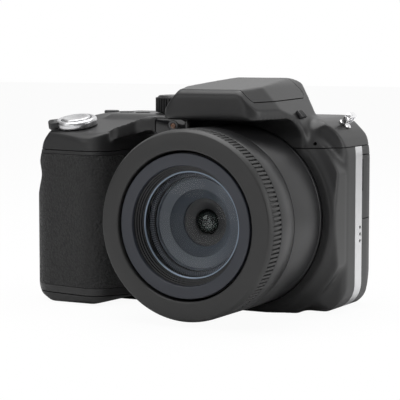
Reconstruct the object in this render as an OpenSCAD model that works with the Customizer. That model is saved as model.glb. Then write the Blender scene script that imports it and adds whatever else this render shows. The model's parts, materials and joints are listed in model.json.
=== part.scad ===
// Bridge camera with a telescopic zoom lens, a pop-up flash and a deep hand grip.
// Frame: millimetres, +Z up, the lens looks along -Y, origin at the mouth of the tripod socket.

/* [Body] */
// From the lens barrel to the right side of the body
side_margin = 4.5; // [4:0.5:9]
// Height of the shoulders over the lens barrel
shoulder_lift = 2.5; // [2:0.5:6]
// From the tripod axis forward to the front wall
front_depth = 13; // [12.5:0.5:15]
// From the tripod axis back to the rear wall
rear_depth = 26.5; // [26:0.5:30]
// Wall of the shells
wall = 1.8; // [1.4:0.1:2.2]
// From the shoulders down to the seam under the top cover
top_drop = 10.5; // [9.5:0.5:12]
// From the tripod axis back to the seam between the front and rear covers
split_y = 6.5; // [6.3:0.1:7]
// Gap left round the pieces that move in the shells
play = 0.3; // [0.2:0.05:0.4]

/* [Hand grip] */
// Width of the grip
grip_w = 45; // [42:0.5:52]
// From the lens barrel to the grip
grip_gap = 4; // [3.5:0.5:6]
// From the tripod axis forward to the front of the grip
grip_depth = 34; // [32:0.5:36]
// How far the left front corner of the grip stands back from its front
corner_back = 6; // [4:0.5:8]
// Tilt of the sloping top of the grip
grip_tilt = 12; // [8:1:14]
// Thickness of the rubber skin
skin_t = 1.4; // [1.2:0.1:1.6]
// Height of the lower edge of the rubber
skin_z0 = 6.5; // [6:0.5:8]
// From the seam down to the upper edge of the rubber
skin_gap = 1.5; // [1:0.1:3]
// Height of the base cap under the grip
base_h = 3.6; // [3.2:0.1:4]

/* [Flash hump] */
// From the underside of the nose up to the top of the hump
hump_rise = 12.9; // [12:0.1:15]
// Half width of the nose over the lens
nose_half = 17.5; // [17:0.5:19]
// From the tripod axis forward to the front of the nose
nose_depth = 40; // [38:0.5:42]
// Gap between the lens barrel and the nose
nose_gap = 3.8; // [3.5:0.1:6]
// From the underside of the nose up to the side seam of the flash lid
lid_lift = 4.1; // [3.5:0.1:5]
// Angle that the flash lid opens
lid_open = 62; // [45:1:65]

/* [Lens] */
// From the base up to the lens barrel
barrel_lift = 1.5; // [1:0.1:3]
// Outer radius of the lens barrel
barrel_r = 33; // [32.5:0.1:33]
// From the tripod axis forward to the face of the front ring
lens_front = 57; // [56:0.5:59]
// Width of the ribbed band
rib_w = 6.1; // [5:0.1:7]
// Number of ribs
rib_count = 130; // [90:2:150]
// Width of the front ring's face
ring_w = 7.2; // [6.5:0.1:7.5]
// Gap between the front ring and the zoom tube
mouth_gap = 0.8; // [0.6:0.05:0.9]
// From the outer zoom tube's surface to the inner one's
tube_step = 1.6; // [1.5:0.05:1.8]
// Wall of the zoom tubes
tube_wall = 1.2; // [1:0.1:1.3]
// Travel of the outer zoom tube
sleeve_travel = 20; // [10:1:22]
// Travel of the inner zoom tube in the outer one
tube_travel = 17; // [8:1:18]
// Turn of the cam ring from wide to long
cam_turn = 108; // [60:1:120]
// From the inner zoom tube's surface to the edge of the front glass
glass_edge = 4.8; // [4.4:0.1:5.4]

/* [Zoom gears] */
// Module of the teeth
gear_m = 0.8; // [0.8:0.01:0.81]
// Teeth on the cam ring
ring_teeth = 72; // [71:1:72]
// Teeth on the pinion
pinion_teeth = 12; // [11:1:13]

/* [Controls] */
// Radius of the mode dial
dial_r = 9.6; // [9:0.1:10]
// Height of the mode dial
dial_h = 6.2; // [5:0.1:7]
// Radius of the zoom lever's ring
lever_r = 7.8; // [7.6:0.1:8.6]
// Radius of the shutter button
shutter_r = 5.4; // [5:0.1:5.6]
// Travel of the shutter button
shutter_travel = 1.2; // [0.8:0.1:1.3]
// Travel of the small buttons
button_travel = 0.6; // [0.4:0.1:0.7]
// Radius of the small buttons
button_r = 2.9; // [2.5:0.1:3.1]
// Radius of the direction pad
pad_r = 10; // [9:0.1:10.5]

/* [Rear and base] */
// Width of the display window
screen_w = 67; // [60:0.5:68]
// Bore radius of the tripod socket
socket_r = 3.175; // [2.5:0.005:4]
// Depth of the tripod socket
socket_depth = 6.2; // [5:0.1:6.5]
// Width of the battery
battery_w = 7.2; // [6:0.1:8]
// Depth of the battery
battery_d = 35.2; // [32:0.1:36]
// Height of the battery
battery_h = 50; // [44:0.5:51]

/* [Hidden] */
$fn = 72;

// Fits: running radial gap of a pin or a sliding button, and of a tube on its guide
pin_fit = 0.05;
slide_fit = 0.1;
// How far a fillet's circle stands over its straight edges, so that they cross
fillet_lap = 0.004;
// Far enough to cut through everything
far = 300;

// Heights and widths that stack up from the lens barrel
lens_h = barrel_r + barrel_lift;
shoulder_h = lens_h + barrel_r + shoulder_lift;
seam_h = shoulder_h - top_drop;
nose_h = lens_h + barrel_r + nose_gap;
lid_seam_h = nose_h + lid_lift;
hump_h = nose_h + hump_rise;
body_right = barrel_r + side_margin;
grip_right = -barrel_r - grip_gap;
body_left = grip_w - grip_right;
grip_corner = grip_depth - corner_back;
mouth_r = barrel_r - ring_w;
sleeve_r = mouth_r - mouth_gap;
tube_r = sleeve_r - tube_step;
glass_r = tube_r - glass_edge;

// Height of the seam over the grip, and of the rubber's upper edge
seam_left = seam_h - 2.5;
skin_z1 = seam_left - skin_gap;

// Outlines of the body, as corner points with their radii
main_left = 22 - body_left;
side_front = front_depth - 7;
bend_x = body_right - 11.5;
main_plan = [[main_left, -front_depth], [bend_x, -front_depth], [body_right, -side_front],
  [body_right, rear_depth], [main_left, rear_depth]];
main_plan_r = [0, 8, 5, 12, 0];
main_face = [[main_left, 0], [body_right, 0], [body_right, shoulder_h], [main_left, shoulder_h]];
main_face_r = [0, 9.5, 13, 0];
main_side = [[-front_depth, 0], [rear_depth, 0], [rear_depth, shoulder_h], [-front_depth, shoulder_h]];
main_side_r = [7, 4, 5, 9];

slope_y = 34 - grip_depth;
slope_end = shoulder_h - tan(grip_tilt) * (grip_depth + slope_y);
grip_nose_x = 32 - body_left;
grip_plan = [[-body_left, rear_depth], [-body_left, -grip_corner], [grip_nose_x, -grip_depth],
  [grip_right, 2 - front_depth], [grip_right, rear_depth]];
grip_plan_r = [12, 12, 9, 0, 0];
grip_fall = 8;
grip_edge = shoulder_h - grip_fall;
grip_face = [[-body_left, 0], [grip_right, 0], [grip_right, shoulder_h],
  [2 * grip_fall - body_left, shoulder_h], [-body_left, grip_edge]];
grip_face_r = [8, 0, 0, 0, 8];
grip_side = [[-grip_depth, 0], [rear_depth, 0], [rear_depth, shoulder_h], [slope_y, shoulder_h],
  [-grip_depth, slope_end]];
grip_side_r = [6, 4, 5, 25, 6];

hump_foot = nose_half + 7.1;
hump_root = nose_half + 11.5;
hump_roof = nose_half - 5.3;
hump_low = seam_h - 3.5;
root_y = -front_depth - 3;
roof_y = 8;
nose_root = root_y - 2;
roof_front = hump_h - 4;
hump_rear = rear_depth - 14.4;
hump_tail = hump_roof - 2.2;
hump_shoulder = hump_foot + 0.9;
hump_face = [[-hump_root, hump_low], [hump_root, hump_low], [hump_foot, shoulder_h],
  [hump_roof, hump_h], [-hump_roof, hump_h], [-hump_foot, shoulder_h]];
hump_face_r = [0, 0, 6, 10, 10, 6];
hump_plan = [[-nose_half, -nose_depth], [nose_half, -nose_depth], [hump_foot, nose_root],
  [hump_root + 1, 3 - front_depth], [hump_shoulder, -2], [hump_tail, hump_rear], [-hump_tail, hump_rear],
  [-hump_shoulder, -2], [-hump_root - 1, 3 - front_depth], [-hump_foot, nose_root]];
hump_plan_r = [6, 6, 0, 0, 6, 5, 5, 6, 0, 0];
hump_side = [[root_y, hump_low], [hump_rear + 2, hump_low], [hump_rear + 1, shoulder_h], [roof_y, hump_h],
  [-nose_depth, roof_front], [-nose_depth, nose_h], [root_y, nose_h]];
hump_side_r = [0, 0, 0, 6, 3, 1.5, 0];

// Brow between the grip and the hump, which holds the lamp window and rises out of the grip's slope
brow_y = 10 - grip_depth;
brow_top = shoulder_h - 0.4;
brow_slope_y = 22 - grip_depth;
brow_end = brow_top - tan(grip_tilt) * (grip_depth - 1 + brow_slope_y);
brow_x0 = grip_nose_x;
brow_x1 = 1.5 - nose_half;
brow_low = seam_left + 0.4;
brow_plan = [[brow_x0, 0], [brow_x0 + 3, 3 - grip_depth], [brow_x0 + 13, brow_y], [brow_x1, brow_y],
  [brow_x1, 0]];
brow_plan_r = [0, 3, 0, 0, 0];
brow_face = [[brow_x0 - 2, brow_low], [brow_x0 + 8, brow_low + 2.1], [brow_x1 - 2, seam_h + 6.3],
  [brow_x1 + 1, brow_top], [brow_x0 + 16, brow_top], [brow_x0 - 2, slope_end - 0.3]];
brow_face_r = [0, 0, 0, 0, 0, 0];
brow_side = [[1 - grip_depth, hump_low], [1, hump_low], [1, brow_top], [brow_slope_y, brow_top],
  [1 - grip_depth, brow_end]];
brow_side_r = [0, 0, 0, 0, 2];

// Seam between the top cover and the covers below it
seam_line = [[-far, seam_left], [grip_right - 9, seam_left], [grip_right + 5, seam_h], [far, seam_h],
  [far, far], [-far, far]];

// Shutter button and zoom lever, on the slope of the grip
shutter_x = 17 - body_left;
shutter_y = 13 - grip_depth;
shutter_z = shoulder_h + tan(grip_tilt) * (shutter_y - slope_y);
bush_r = shutter_r + 1.1;

// Lens stations, measured forward from the tripod axis
gear_back = 6.4;
gear_w = 3.8;
base_back = 10.8;
barrel_in = barrel_r - 2.8;
barrel_seam = lens_front - 18.4;
ring_back = lens_front - 2.4;
rib_front = ring_back;
rib_back = rib_front - rib_w;
rib_seat = 1.3;
cam_front = lens_front - 5;
cam_in = sleeve_r + 2.4;
sleeve_back = 17;
sleeve_front = lens_front - 2.6;
tube_back = 19;
tube_front = lens_front - 2.1;
bezel_front = lens_front - 0.6;
glass_back = lens_front - 9.5;
glass_rim = lens_front - 7.5;
glass_apex = lens_front - 5;
cone_front = lens_front - 11.1;
cone_back = lens_front - 19;
tube_in = tube_r - tube_wall;
plate_front = 6;
plate_back = 4;

// Zoom gears
ring_pitch = gear_m * ring_teeth / 2;
pinion_pitch = gear_m * pinion_teeth / 2;
gear_gap = ring_pitch + pinion_pitch + 0.05;
pinion_angle = 200;
pinion_x = gear_gap * cos(pinion_angle);
pinion_z = lens_h + gear_gap * sin(pinion_angle);
motor_r = 5;
motor_len = 13;
shaft_r = 0.9;

// Sensor, board and display
tunnel_r = 17;
sensor_y = 4;
board_y = 14;
board_t = 1.6;
board_low = 7;
chip_t = 1.3;
post_x = barrel_r - 6;
post_z = [lens_h - 20.5, lens_h + 21.5];
post_r = 2;
screen_x = grip_right + 28;
screen_z = 6;
screen_h = seam_h - 3.5 - screen_z;
window_t = 1.6;
panel_t = 3;
guide_x = 12;
rod_r = 0.8;
focus_r = 6;

// Battery bay in the grip
battery_x = 15.4 - body_left;
bay_front = 4.2;
battery_y = battery_d / 2 + bay_front - grip_corner;
battery_z = 3;
card_w = 2.4;
card_d = 24.5;
card_h = 36;
bay_wall = 1.1;
bay_x0 = battery_x - battery_w / 2 - 0.2;
bay_x1 = battery_x + battery_w / 2 + 0.2;
card_x0 = bay_x1 + bay_wall;
card_x1 = card_x0 + card_w;
bay_y0 = battery_y - battery_d / 2 - 0.2;
bay_y1 = battery_y + battery_d / 2 + 0.2;
bay_h = battery_z + battery_h + 0.3;
door_pin_y = bay_y1 + 1.6;
door_pin_z = 1.2;
door_pin_r = 0.5;
knuckle_r = 1;
door_t = wall - 0.2;

// Pop-up flash
lid_t = 1.6;
lid_front = 2.3 - nose_depth;
lid_rear = 2.4;
lid_hinge_half = 7.5;
lid_pin_y = 4.2;
lid_pin_z = hump_h - 2.6;
lid_knuckle_r = 2.2;
lid_arc_r = 2.75;
lid_pin_r = 0.7;
lug_w = 2.6;
lamp_half = 11;
lamp_front = lid_front + 0.8;
lamp_depth = 6.5;
lamp_z = lid_seam_h + 0.4;
switch_y = -14.5;
switch_z = shoulder_h + 1;
flank_run = hump_foot - hump_roof;
flank_rise = hump_h - shoulder_h;
switch_x = hump_foot - flank_run * (switch_z - shoulder_h) / flank_rise;
flank_angle = atan2(flank_rise, flank_run);
switch_travel = 2;
keeper = 3.2;

// Rear controls, as their distance from the lens axis and height
pad_x = 23 - body_left;
button_gap = 0.1;
button_side = 7;
thumb_z = seam_left - 10.5;
menu_z = thumb_z - button_r - button_gap;
info_z = base_h + 6.9;
pad_z = (menu_z + info_z) / 2;
pad_reach = rear_depth + 1.4;
gimbal_y = rear_depth - 5.2;
gimbal_r = 8;
stub_r = 0.8;
button_reach = 1.1;
menu_at = [pad_x - button_side, menu_z];
play_at = [pad_x + button_side, menu_z];
info_at = [pad_x - button_side, info_z];
delete_at = [pad_x + button_side, info_z];

// Top controls
dial_at = [grip_right + 2, 5];
power_at = [31.6 - body_left, 3];
burst_at = [24.1 - body_left, 3.5];
record_at = [16.5 - body_left, 5];
button_flange = button_r + 0.6;
grip_wall = wall + skin_t;

// Side band and port door
band_y0 = 3.5;
band_y1 = 9.6;
band_t = 0.9;
band_hole_r = 0.65;
band_hole_z = [25, 27.5, 30];
port_z0 = seam_h - 26.5;
port_z1 = seam_h - 3.5;
port_y1 = rear_depth - 8.1;
port_t = 1.4;
port_pin_x = body_right - 2;
port_pin_r = 0.6;
port_knuckle_r = 1.1;
port_pin_y = port_y1 - port_knuckle_r;
port_sweep_r = 2.35;
port_tail = 1.3;
lug_y = 5;
screw_x = body_right - 9.5;
screw_at = [[screw_x, -1], [screw_x, rear_depth - 6.5], [-screw_x, -6], [-screw_x, rear_depth - 6.5]];
screw_head_r = 1.7;
screw_r = 0.8;

// Seats and small details
tripod_r = 5;
collar_r = barrel_r + 3.5;
collar_back = plate_front + 0.8;
collar_front = front_depth + 2.6;
collar_low = 1.5;
chassis_low = lens_h - 25.5;
chassis_half = barrel_r;
chassis_rise = 3;
chassis_corner = 4;
pillar_r = barrel_in + 1.2;
pillar_angles = [20, 80, 160, 280, 330];
cell_r = 8.4;
bulb_r = 4.6;
thumb_in = 1.2;
thumb_y = 12;
skin_edge = 1.2;
mic_x = body_right - 8.5;
lug_stem_r = 1.6;
lug_half = 3.2;
lug_rise = 4.6;
lug_wire = 1.1;
latch_x = (bay_x0 + card_x1) / 2;
latch_d = 5;
latch_half = 3.9;
latch_t = 0.6;
latch_y = bay_y0 + 1.4;
stem_y = bay_y0 + 2.6;
stem_half = 1.4;
stem_d = 2;
latch_travel = 2;
lamp_x0 = brow_x1 - 15;
lamp_x1 = brow_x1 - 3.5;
lamp_z0 = seam_h + 6.4;
lamp_z1 = shoulder_h - 1;
lamp_seat = 0.9;
lamp_corner = 0.8;
lamp_fit = 0.02;
lamp_r = 1.1;
lamp_len = 2;
shutter_rise = 3.6;
lever_h = 2.8;
lever_angle = 215;
dial_post_r = 4;
dial_ribs = 44;
ok_r = 4.2;

// Direction of travel from a to b, and the inward normal of that edge
function unit(v) = v / norm(v);
function inward(a, b) = let (d = unit(b - a)) [-d.y, d.x];
// Corner k of an outline with every edge moved inwards by t
function inset_corner(p, k, t) =
  let (n = len(p), a = p[(k + n - 1) % n], b = p[k], c = p[(k + 1) % n])
  let (n1 = inward(a, b), n2 = inward(b, c))
  b + (n1 + n2) * t / (1 + n1 * n2);
function inset_points(p, t) = [for (k = [0:len(p) - 1]) inset_corner(p, k, t)];
// Distance from a corner to where its fillet of radius r starts
function fillet_start(a, b, c, r) =
  let (d1 = unit(b - a), d2 = unit(c - b))
  r * tan(acos(max(-1, min(1, d1 * d2))) / 2);

// Outline with rounded corners, moved inwards by t
module rounded(points, radii, t = 0) {
  p = inset_points(points, t);
  n = len(p);
  r = [for (k = [0:n - 1]) radii[k] == 0 ? 0 : max(radii[k] - t, 0)];
  reach = [for (k = [0:n - 1]) fillet_start(p[(k + n - 1) % n], p[k], p[(k + 1) % n], r[k])];
  polygon([for (k = [0:n - 1]) each
    r[k] == 0 ? [p[k]] :
    [p[k] - reach[k] * unit(p[k] - p[(k + n - 1) % n]), p[k] + reach[k] * unit(p[(k + 1) % n] - p[k])]]);
  for (k = [0:n - 1])
    if (r[k] > 0) {
      a = p[(k + n - 1) % n];
      translate(p[k] - reach[k] * unit(p[k] - a) + r[k] * inward(a, p[k])) circle(r[k] + fillet_lap);
    }
}

module rounded_rect(x0, y0, x1, y1, r) {
  rounded([[x0, y0], [x1, y0], [x1, y1], [x0, y1]], [r, r, r, r]);
}

// Extrusions of an outline in X and Y, X and Z, or Y and Z
module upright(z0, z1) { translate([0, 0, z0]) linear_extrude(z1 - z0) children(); }
module lengthwise(y0, y1) { translate([0, y1, 0]) rotate([90, 0, 0]) linear_extrude(y1 - y0) children(); }
module crosswise(x0, x1) { translate([x0, 0, 0]) rotate([90, 0, 90]) linear_extrude(x1 - x0) children(); }
module block(x0, y0, z0, x1, y1, z1) { translate([x0, y0, z0]) cube([x1 - x0, y1 - y0, z1 - z0]); }

// Cylinders along X and Y
module rod_x(x0, x1, r, y, z) { translate([x0, y, z]) rotate([0, 90, 0]) cylinder(r = r, h = x1 - x0); }
module rod_y(y0, y1, r, x, z) { translate([x, y1, z]) rotate([90, 0, 0]) cylinder(r = r, h = y1 - y0); }

// Lens parts are turned about Z and laid along the lens axis, forward upwards
module on_lens_axis() { translate([0, 0, lens_h]) rotate([90, 0, 0]) children(); }
module turned(points) { on_lens_axis() rotate_extrude() polygon(points); }
module tube(r0, r1, f0, f1) { turned([[r0, f0], [r1, f0], [r1, f1], [r0, f1]]); }
module on_shutter_axis() {
  translate([shutter_x, shutter_y, shutter_z]) rotate([grip_tilt, 0, 0]) children();
}
module on_flank() { translate([switch_x, switch_y, switch_z]) rotate([0, flank_angle, 0]) children(); }

// The body's outer forms, each moved inwards by t
module box_form(plan, plan_r, face, face_r, side, side_r, t) {
  intersection() {
    upright(-far, far) rounded(plan, plan_r, t);
    lengthwise(-far, far) rounded(face, face_r, t);
    crosswise(-far, far) rounded(side, side_r, t);
  }
}
module main_form(t) { box_form(main_plan, main_plan_r, main_face, main_face_r, main_side, main_side_r, t); }
module grip_form(t) { box_form(grip_plan, grip_plan_r, grip_face, grip_face_r, grip_side, grip_side_r, t); }
module hump_form(t) { box_form(hump_plan, hump_plan_r, hump_face, hump_face_r, hump_side, hump_side_r, t); }
module brow_form(t) { box_form(brow_plan, brow_plan_r, brow_face, brow_face_r, brow_side, brow_side_r, t); }
module body_form() {
  main_form(0);
  grip_form(0);
  hump_form(0);
  brow_form(0);
}
module body_cavity() {
  main_form(wall);
  grip_form(grip_wall);
  hump_form(wall);
  brow_form(wall);
}
module shell() {
  difference() {
    body_form();
    body_cavity();
  }
}
module lens_opening() { on_lens_axis() cylinder(r = barrel_r + slide_fit, h = far); }
module above_seam() { lengthwise(-far, far) polygon(seam_line); }

// Covers
module skin_block(gap) {
  block(-far, -far, skin_z0 - gap, grip_right - skin_edge, split_y - skin_edge + gap, skin_z1 + gap);
}
module port_zone(gap, tail) {
  block(0, band_y1 + slide_fit, port_z0 - gap, far, port_pin_y + tail, port_z1 + gap);
}
module band_zone(gap) { block(bend_x, band_y0 - gap, -far, far, band_y1 + gap, seam_h); }
module base_zone() { block(-far, -far, -far, grip_right - 1, far, base_h); }
module screw_holes() {
  for (at = screw_at) translate([at.x, at.y, -1]) {
    cylinder(r = screw_r, h = far);
    cylinder(r = screw_head_r, h = 2);
  }
}

module front_cover() {
  color("#3a3a3c") {
    difference() {
      shell();
      above_seam();
      block(-far, split_y, -far, far, far, far);
      base_zone();
      difference() {
        skin_block(slide_fit);
        main_form(0);
        grip_form(skin_t);
      }
      difference() {
        band_zone(0);
        main_form(band_t);
      }
      lens_opening();
      translate([0, 0, -1]) cylinder(r = tripod_r, h = far);
      screw_holes();
    }
    difference() {
      tube(barrel_r + slide_fit, collar_r, collar_back, collar_front);
      above_seam();
      main_form(wall);
      block(-far, -far, -far, far, far, collar_low);
      block(body_right - 0.8, -far, -far, far, far, far);
    }
  }
}

module rear_cover() {
  color("#343436") difference() {
    union() {
      difference() {
        shell();
        above_seam();
        block(-far, -far, -far, far, split_y, far);
        base_zone();
        difference() {
          band_zone(0);
          main_form(band_t);
        }
      }
      pad_bosses();
      port_bosses();
    }
    difference() {
      port_zone(play, 0);
      main_form(wall + play);
    }
    translate([port_pin_x, port_pin_y, port_z0 - play])
      cylinder(r = port_sweep_r, h = port_z1 - port_z0 + 2 * play);
    translate([port_pin_x, port_pin_y, port_z0 - 2.2])
      cylinder(r = port_pin_r + pin_fit, h = port_z1 - port_z0 + 4.4);
    block(body_right - 7.5, band_y1 + 0.8, port_z0 + 1.6, far, port_y1 - 3.6, port_z1 - 1.6);
    lengthwise(0, far) rounded_rect(screen_x - screen_w / 2 - slide_fit, screen_z - slide_fit,
      screen_x + screen_w / 2 + slide_fit, screen_z + screen_h + slide_fit, 2);
    rod_y(0, far, pad_r + play, pad_x, pad_z);
    rod_x(pad_x - gimbal_r - 3, pad_x + gimbal_r + 3, stub_r + pin_fit, gimbal_y, pad_z);
    for (at = [menu_at, play_at, info_at, delete_at])
      rod_y(rear_depth - grip_wall - 3, far, button_r + slide_fit, at.x, at.y);
    difference() {
      thumb_zone(slide_fit);
      grip_form(thumb_in);
    }
    screw_holes();
  }
}
module pad_bosses() {
  for (side = [-1, 1])
    block(pad_x + side * (gimbal_r + 1.7) - 1.3, gimbal_y - 1.5, pad_z - 1.6,
      pad_x + side * (gimbal_r + 1.7) + 1.3, rear_depth - wall, pad_z + 1.6);
}
module port_bosses() {
  for (z = [port_z0 - play - 2, port_z1 + play])
    intersection() {
      block(port_pin_x - 1.4, port_pin_y - 1.6, z, far, port_y1 + 0.6, z + 2);
      main_form(0);
    }
}

module top_cover() {
  color("#3e3e40") difference() {
    union() {
      intersection() {
        shell();
        above_seam();
      }
      intersection() {
        lid_lugs();
        hump_form(0);
      }
      on_shutter_axis() translate([0, 0, -grip_wall]) cylinder(r = bush_r, h = grip_wall + 1.4);
    }
    lens_opening();
    intersection() {
      hump_form(-1);
      lid_zone(0);
    }
    rod_x(-lid_hinge_half - play, lid_hinge_half + play, lid_knuckle_r + 2 * play, lid_pin_y, lid_pin_z);
    rod_x(-lid_hinge_half - lug_w - 1, lid_hinge_half + lug_w + 1, lid_pin_r, lid_pin_y, lid_pin_z);
    on_shutter_axis() translate([0, 0, -far / 2]) cylinder(r = shutter_r + slide_fit, h = far);
    translate([dial_at.x, dial_at.y, 0]) cylinder(r = dial_post_r + pin_fit, h = far);
    for (at = [power_at, burst_at, record_at]) translate([at.x, at.y, 0]) {
      cylinder(r = button_r + slide_fit, h = far);
      cylinder(r = button_flange + play, h = shoulder_h - grip_wall + play);
    }
    on_flank() {
      translate([-0.9, -1.4, -4]) cube([1.8, 2.8 + switch_travel, 8]);
      translate([-keeper / 2 - play, -keeper / 2 - play, -wall - 4])
        cube([keeper + 2 * play, keeper + switch_travel + 2 * play, 4]);
    }
    lamp_recess();
    lamp_bar(pin_fit);
    for (side = [0, 1]) lug_frame(side) translate([0, 0, -6]) cylinder(r = lug_stem_r, h = 8);
    rod_y(-far, 0, 0.6, mic_x, seam_h + 1.6);
  }
}
module lid_zone(gap) {
  difference() {
    block(-far, lid_front - play + gap, lid_seam_h + gap, far, lid_rear + play - gap, far);
    rod_x(-far, far, lid_arc_r - play + gap, lid_pin_y, lid_pin_z);
  }
  block(-lid_hinge_half - play + gap, -1, lid_seam_h + gap, lid_hinge_half + play - gap, lid_pin_y, far);
}
module lid_lugs() {
  for (side = [-1, 1]) {
    x = side * (lid_hinge_half + play + lug_w / 2);
    block(x - lug_w / 2, lid_rear + 2 * play, lid_pin_z - 1.8, x + lug_w / 2, lid_pin_y + 2.2, far);
  }
}
module lug_frame(side) {
  r = side == 0 ? main_face_r[2] : grip_face_r[4];
  x = side == 0 ? body_right - r : r - body_left;
  z = side == 0 ? shoulder_h - r : grip_edge - fillet_start(grip_face[3], grip_face[4], grip_face[0], r);
  turn = side == 0 ? 38 : -48;
  translate([x, lug_y, z]) rotate([0, turn, 0]) translate([0, 0, r]) children();
}

module grip_base() {
  color("#2c2c2e") difference() {
    intersection() {
      shell();
      base_zone();
    }
    block(bay_x0 - 0.2, bay_y0 - 0.2, -far, card_x1 + 0.2, door_pin_y + knuckle_r + play, far);
    rod_x(bay_x0 - 3, card_x1 + 3, door_pin_r, door_pin_y, door_pin_z);
  }
}

module grip_skin() {
  color("#1d1d1f") difference() {
    intersection() {
      grip_form(0);
      skin_block(0);
    }
    main_form(0);
    grip_form(skin_t - pin_fit);
  }
}

module thumb_zone(gap) {
  block(-far, thumb_y - gap, thumb_z - gap, main_left + gap, far, seam_left - skin_edge + gap);
}
module thumb_rest() {
  color("#1f1f21") difference() {
    intersection() {
      grip_form(0);
      thumb_zone(0);
    }
    grip_form(thumb_in - pin_fit);
  }
}

module side_trim() {
  color("#d9dadc") difference() {
    intersection() {
      main_form(0);
      band_zone(-0.05);
    }
    main_form(band_t);
    for (z = band_hole_z) rod_x(0, far, band_hole_r, band_y1 - 1.6, z);
  }
}

module port_door() {
  color("#303032") {
    difference() {
      intersection() {
        main_form(0);
        port_zone(0, port_tail);
      }
      main_form(port_t);
      block(0, 0, port_z0 + 10, far, band_y1 + 0.9, port_z1 - 1.5);
    }
    intersection() {
      main_form(0);
      translate([port_pin_x, port_pin_y, port_z0])
        cylinder(r = port_knuckle_r, h = port_z1 - port_z0);
    }
    translate([port_pin_x, port_pin_y, port_z0 - 1.9])
      cylinder(r = port_pin_r, h = port_z1 - port_z0 + 3.8);
  }
}

module port_block() {
  color("#8d9096") difference() {
    block(body_right - 6.9, band_y1 + 1.2, port_z0 + 2.4, body_right - port_t - 0.8, board_y, port_z1 - 2.4);
    for (z = [port_z0 + 5.5, port_z0 + 14])
      block(body_right - 5, band_y1 + 2, z, far, board_y - 0.8, z + 5.2);
  }
}

module case_screws() {
  color("#77787b") for (at = screw_at) translate([at.x, at.y, 0.2]) difference() {
    union() {
      cylinder(r = screw_head_r, h = 0.8);
      cylinder(r = screw_r, h = 5);
    }
    translate([-1, -0.2, -1]) cube([2, 0.4, 1.4]);
    translate([-0.2, -1, -1]) cube([0.4, 2, 1.4]);
  }
}

module strap_lugs() {
  color("#c9cbce") for (side = [0, 1]) lug_frame(side) {
    translate([0, 0, -2.2]) cylinder(r = lug_stem_r, h = 2.6);
    translate([0, 0, 0.4]) rotate([90, 0, 90]) translate([0, 0, -0.9]) linear_extrude(1.8) difference() {
      rounded_rect(-lug_half, 0, lug_half, lug_rise, 1.8);
      rounded_rect(lug_wire - lug_half, lug_wire, lug_half - lug_wire, lug_rise - lug_wire, 0.9);
    }
  }
}

module tripod_socket() {
  color("#b5b7ba") difference() {
    cylinder(r = tripod_r, h = socket_depth + 1.2);
    translate([0, 0, -1]) cylinder(r = socket_r, h = socket_depth + 1);
  }
}

// Lens barrel
module barrel_base() {
  color("#3b3b3d") turned([[barrel_in, base_back], [barrel_r, base_back],
    [barrel_r, barrel_seam - 0.25], [barrel_r - 0.4, barrel_seam - 0.25], [barrel_r - 0.4, barrel_seam],
    [barrel_in, barrel_seam]]);
}
module barrel_front() {
  color("#404042") turned([[barrel_in, barrel_seam], [barrel_r - 0.25, barrel_seam],
    [barrel_r, barrel_seam + 0.25], [barrel_r, rib_back], [barrel_r - rib_seat, rib_back],
    [barrel_r - rib_seat, rib_front], [barrel_in, rib_front]]);
}
function rib_points() = [for (k = [0:rib_count - 1]) each
  let (a = 360 / rib_count)
  [rib_at(barrel_r - 0.7, (k - 0.24) * a), rib_at(barrel_r, (k - 0.18) * a),
   rib_at(barrel_r, (k + 0.18) * a), rib_at(barrel_r - 0.7, (k + 0.24) * a)]];
function rib_at(r, a) = r * [cos(a), sin(a)];
module rib_band() {
  color("#2e2e30") on_lens_axis() translate([0, 0, rib_back + pin_fit])
    linear_extrude(rib_w - 2 * pin_fit) difference() {
      polygon(rib_points());
      circle(barrel_r - rib_seat + pin_fit, $fn = 4 * $fn);
    }
}
module front_ring() {
  color("#3a3a3c") turned([[mouth_r, cam_front + 0.4], [mouth_r + 1.2, cam_front + 0.4],
    [mouth_r + 1.2, ring_back], [barrel_r, ring_back], [barrel_r, lens_front - 1.4],
    [barrel_r - 1, lens_front - 0.2], [mouth_r + 0.4, lens_front], [mouth_r, lens_front - 0.4]]);
}

// Zoom mechanism
function tooth_points(n, m) = let (p = m * n / 2) [for (k = [0:n - 1]) each
  let (a = 360 / n)
  [rib_at(p - 1.1 * m, (k - 0.33) * a), rib_at(p, (k - 0.215) * a), rib_at(p + 0.75 * m, (k - 0.11) * a),
   rib_at(p + 0.75 * m, (k + 0.11) * a), rib_at(p, (k + 0.215) * a), rib_at(p - 1.1 * m, (k + 0.33) * a)]];
module cam_ring() {
  color("#6f7276") {
    tube(cam_in, barrel_in - slide_fit, gear_back + gear_w, cam_front);
    on_lens_axis() translate([0, 0, gear_back]) linear_extrude(gear_w) difference() {
      rotate(pinion_angle) polygon(tooth_points(ring_teeth, gear_m));
      circle(cam_in);
    }
  }
}
module zoom_pinion() {
  phase = 180 + pinion_angle - 180 / pinion_teeth;
  color("#d8d2c0") translate([pinion_x, 0, pinion_z]) rotate([90, 0, 0]) {
    translate([0, 0, gear_back]) linear_extrude(gear_w - 0.4) rotate(phase)
      polygon(tooth_points(pinion_teeth, gear_m));
    cylinder(r = shaft_r, h = gear_back + gear_w + 0.4);
  }
}
module zoom_motor() {
  color("#9a9ca0") difference() {
    rod_y(-plate_back, motor_len - plate_back, motor_r, pinion_x, pinion_z);
    rod_y(-far, 0.5, shaft_r + pin_fit, pinion_x, pinion_z);
  }
}
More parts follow.
